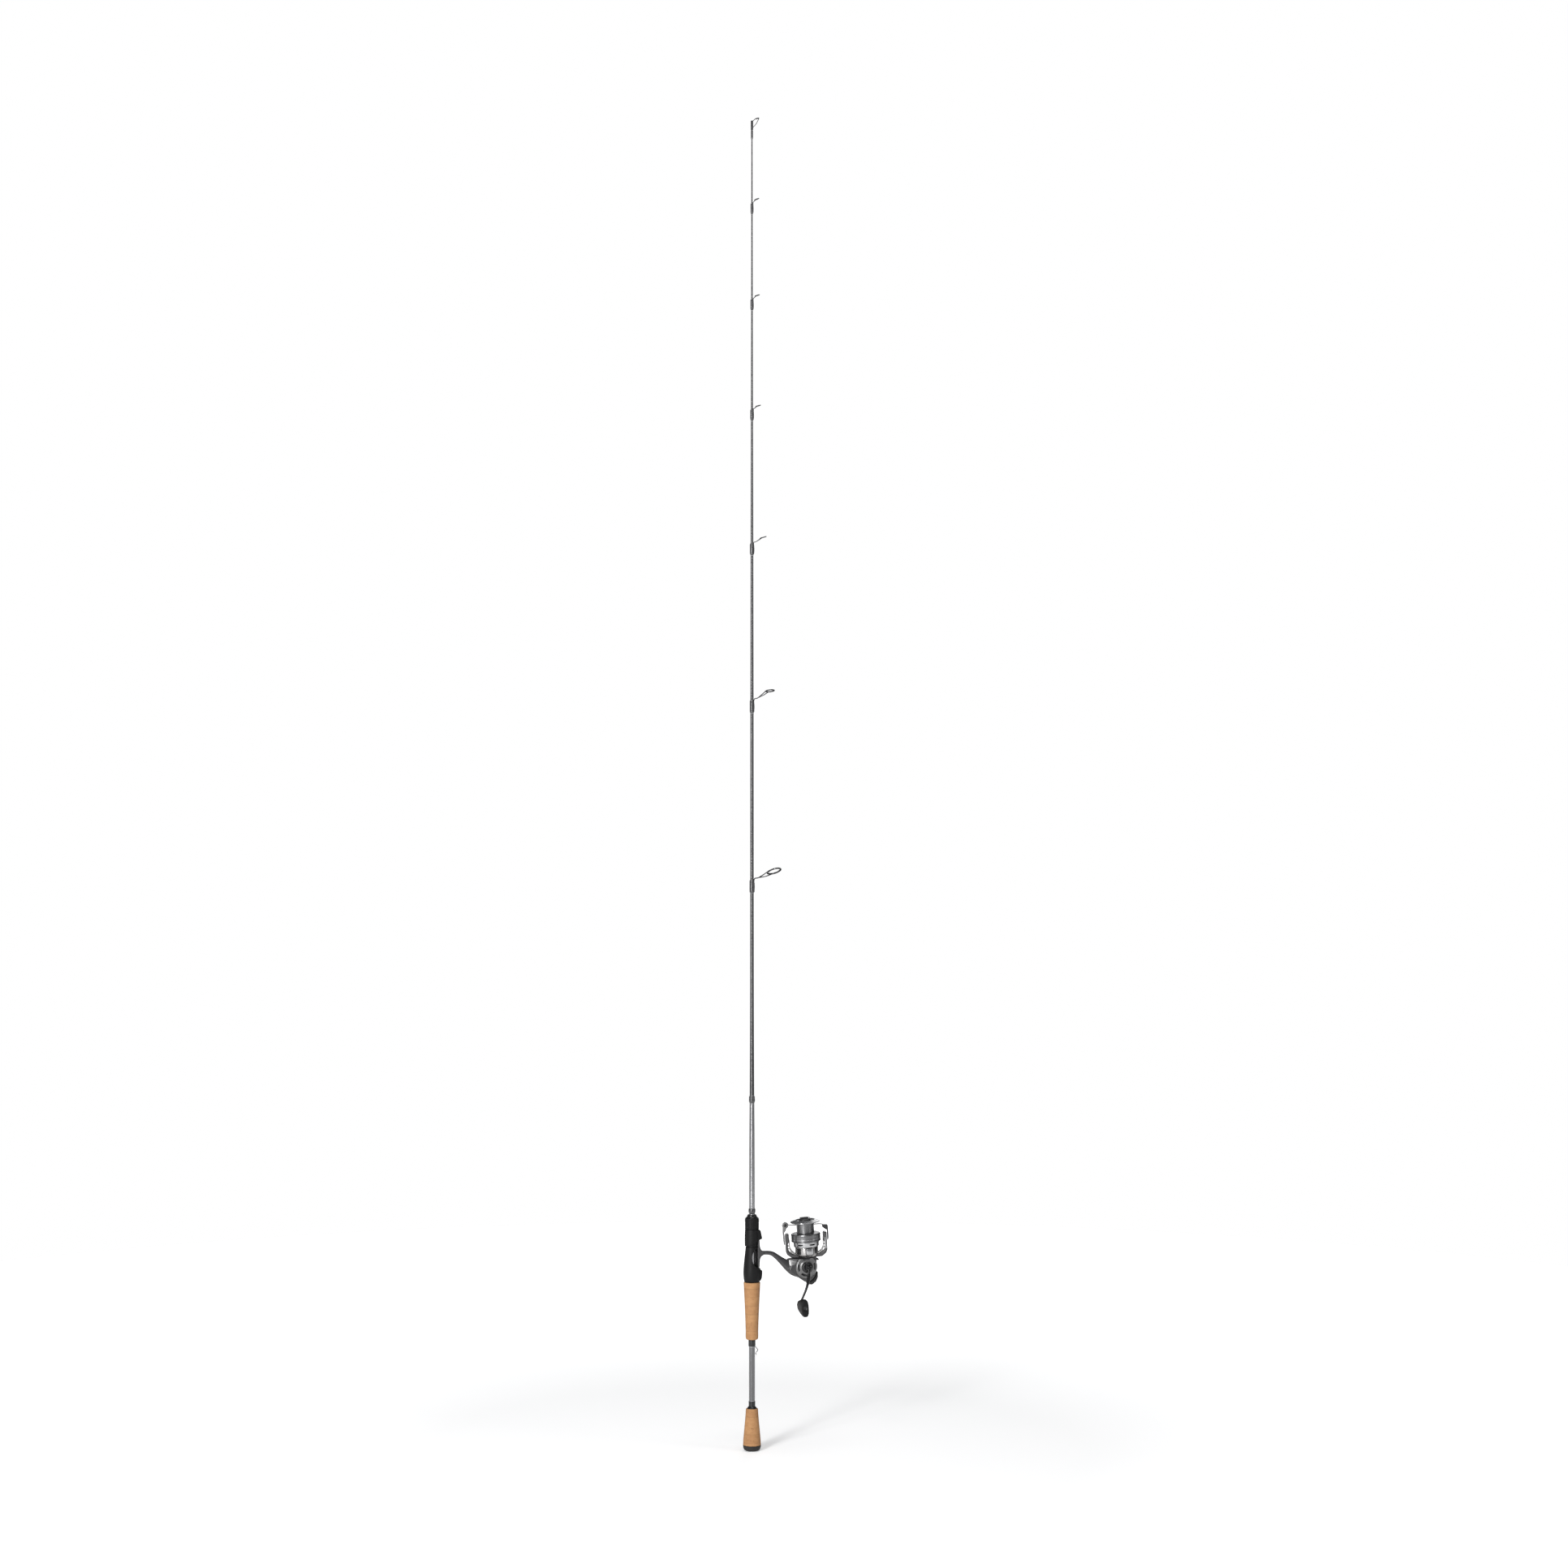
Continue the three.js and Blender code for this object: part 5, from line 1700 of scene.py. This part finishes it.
def lens_tool():
    """A lens-shaped port in the spool's lower ring, as a tool."""
    half = 5.6
    lower = [(half * math.cos(a), 33.3 - 1.7 * math.sin(a)) for a in arc(0, math.pi, 10)]
    upper = [(-half * math.cos(a), 33.3 + 0.9 * math.sin(a)) for a in arc(0, math.pi, 10)[1:-1]]
    return plate("lens", [*lower, *upper], -21, -17.4)


def arc(start, end, steps):
    return [start + (end - start) * step / steps for step in range(steps + 1)]


def make_spool():
    piece = turned("spool_skirt_and_arbor", SKIRT, 128, 0.22, True)
    hand_over(piece, SPOOL, "spool_alloy", "spool_body", "spool", angle=30)
    ring = turned("spool_port_ring", PORT_RING, 128, 0.15, True)
    ports = patterned(lens_tool(), RING, "bright_alloy", Count=6)
    carve(ring, turn(ports, 15.5))
    hand_over(ring, SPOOL, "bright_alloy", "spool_body", slot="spool_alloy", angle=30)
    lip = turned("spool_lip", LIP, 128, 0.22, True)
    hand_over(lip, SPOOL, "bright_alloy", "spool_body", slot="spool_alloy", angle=30)
    groove = turned("spool_skirt_line", [(21.5, 40.2), (21.75, 40.2), (21.75, 40.5), (21.5, 40.5)], 128,
                    0.05, True)
    hand_over(groove, SPOOL, "bright_steel", "spool_body", slot="spool_alloy")


def make_drag_knob():
    base = turned(
        "knob_base",
        [
            (2, 63.5), (8.1, 63.5), (8.1, 67.1), (8.8, 67.4), (9, 67.9), (9, 69.3), (8.2, 70), (7, 70.3),
            (0, 70.4), (0, 69.4), (2, 69.4),
        ],
        96,
        0.25,
    )
    rib = box("knob_rib", 8.4, 9.1, -0.42, 0.42, 67.7, 69.6, 0.2)
    ribs = patterned(rib, RING, "drag_plastic", Count=32)
    grip = box("knob_grip", -7, 5, -2.4, 2.4, 69.9, 72.3, 0.7)
    tooth = box("knob_tooth", -5.9, -5.2, -2.6, 2.6, 70.6, 72.4, 0.15)
    teeth = patterned(tooth, ROW, "drag_plastic", Count=7, Step=(1.5, 0, 0))
    piece = fuse("drag_knob_ribbed", [base, ribs, grip, teeth])
    hand_over(piece, SPOOL, "drag_plastic", "drag", "drag_knob", slot="drag_plastic")
    cap = plate(
        "drag_knob_bright_end", [(4.9, 70.2), (8, 70.2), (7.6, 71.2), (6.6, 72), (4.9, 72.3)], -2.5, 2.5,
        0.35, 0.4
    )
    hand_over(cap, SPOOL, "bright_steel", "drag", slot="bright_steel")


# ---------------------------------------------------------------- crank


# How far out from the reel's middle the crank folds.
FOLD_LINE = -25.4


def make_hub():
    cup = turned_aside(
        "hub_cup",
        [
            (0, -22.2), (5.2, -22.4), (7.2, -22.2), (8.2, -21.2), (8.3, -19), (8.1, -17), (2.95, -16.9),
            (2.95, -19.7), (0, -19.7),
        ],
        80,
        0.4,
    )
    parts = [cup]
    for x in (-3, 3):
        ear = box("ear", x - 1.05, x + 1.05, -25.4, -21.6, -3.6, 3.6, 0.3)
        eye = turned_across("ear_eye", [(0, x - 1.05), (3.75, x - 1.05), (3.75, x + 1.05), (0, x + 1.05)],
                            48, 0.3)
        parts.extend([ear, shift(eye, y=FOLD_LINE)])
    piece = fuse("crank_hub_moulding", parts)
    hand_over(piece, REEL, "black_trim", "crank", "handle_hub")


def make_fold_pin():
    pin = turned_across(
        "fold_pin_steel", [(0, -4.3), (0.9, -4.3), (1, -4.1), (1, 4.1), (0.9, 4.3), (0, 4.3)], 32, 0.1
    )
    hand_over(shift(pin, y=FOLD_LINE), REEL, "dark_wire", "crank", "fold_pin", slot="bright_steel")


def make_crank_arm():
    knob = (REEL.inverted() @ joint_place("knob_spin")) / MM
    line = [
        (0, -25.5, 0.6, 2.2, 1.5), (-0.2, -25.8, -3.6, 2.4, 1.6), (-0.8, -27.4, -9, 2.2, 2.8),
        (-2.6, -31, -15.4, 2.1, 2.9), (-5, -34.7, -21.6, 2, 2.7), (-9, -37.2, -29.8, 1.9, 2.5),
        (-13.6, -38.6, -38, 1.9, 2.4), (-18.4, -39.7, -46, 1.9, 2.4),
        (knob.x, -40.2, knob.z, 1.8, 2.6),
    ]
    bar = loft("crank_bar", line, (1, 0, 0.35), 24, 2.6)
    lug = turned_across("crank_lug", [(0, -1.55), (2.65, -1.55), (2.65, 1.55), (0, 1.55)], 48, 0.3)
    shift(lug, y=FOLD_LINE)
    eye = turned_aside(
        "crank_eye", [(0, -42.1), (3.6, -42.1), (3.9, -41.6), (3.9, -39.4), (3.4, -39), (0, -39)], 48, 0.4
    )
    shift(eye, x=knob.x, z=knob.z)
    pin = turned_aside("crank_pin", [(0, -48), (1.5, -48), (1.5, -41), (0, -41)], 24, 0.1)
    shift(pin, x=knob.x, z=knob.z)
    piece = fuse("crank_arm_forged", [bar, lug, eye, pin])
    hand_over(piece, REEL, "black_trim", "arm", "handle_arm", angle=50)


KNOB_Y = joint_place("knob_spin").y / MM


def make_knob():
    """A flat-sided paddle, narrow at the crank and broad at its outer end."""
    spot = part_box("handle_knob")
    near = spot[1].y / MM - KNOB_Y
    far = spot[0].y / MM - KNOB_Y
    half = (spot[1].z - spot[0].z) / MM / 2
    line = [
        (0, near, 0, 3.9, 3.4), (0, near - 2.4, 0, 6.6, 4.4), (0, near - 4.6, 0, 8, 5.2),
        (0, near - 16, 0, half - 2, 5.6), (0, far + 8, 0, half - 0.2, 5.6),
        (0, far + 2.6, 0, half - 0.2, 5.5), (0, far + 0.7, 0, half - 0.7, 5.1),
        (0, far + 0.1, 0, half - 1.9, 4.1),
    ]
    paddle = loft("paddle", line, (1, 0, 0), 48, 2.9)
    room = [(0, far - 4), (3.9, far - 4), (3.9, far + 3.3), (0, far + 3.3)]
    carve(paddle, turned_aside("cap_room", room, 48, 0))
    bevel_edges(paddle, 0.3, 50, 2)
    hand_over(paddle, KNOB, "soft_touch", "knob", "handle_knob", slot="soft_touch", angle=45)
    cap = turned_aside(
        "knob_cap_disc",
        [
            (0, far + 2), (2.4, far + 1.9), (3.1, far + 1.3), (3.6, far + 1.2), (3.6, far + 2.9),
            (0, far + 2.9),
        ],
        48,
        0.25,
    )
    hand_over(cap, KNOB, "black_trim", "knob", "knob_cap")


# ---------------------------------------------------------------- everything


def paint_hidden_parts():
    """The drive parts inside keep their CAD shapes and get their own finishes."""
    finishes = {
        "gear_brass": ["drive_gear", "pinion_gear", "oscillation_gear"],
        "bright_steel": [
            "handle_shaft", "drive_bearing", "front_bearing", "one_way_clutch", "main_shaft",
            "bail_spring",
        ],
        "zinc": ["oscillation_slider"],
        "felt": ["drag_washers"],
    }
    for look, nodes in finishes.items():
        for node in nodes:
            for place in frame["nodes"][node].material_slots:
                place.material = LOOKS[look]


def make_rod():
    make_blank()
    make_butt_cap()
    make_grips()
    make_collars()
    make_trims()
    make_hook_keeper()
    make_reel_seat()
    make_seat_hood()
    make_seat_nut()
    make_nut_cone()
    make_wraps()
    make_guides()
    make_tip()


def make_reel():
    make_reel_body()
    make_leg_facets()
    make_side_cover()
    make_rear_cap()
    make_stop_lever()
    make_far_cap()
    make_rotor()
    make_rotor_nut()
    make_bail_arm()
    make_bail_lever()
    make_bail_wire()
    make_roller()
    make_spool()
    make_drag_knob()
    make_hub()
    make_fold_pin()
    make_crank_arm()
    make_knob()


add_studio()
make_rod()
make_reel()
paint_hidden_parts()
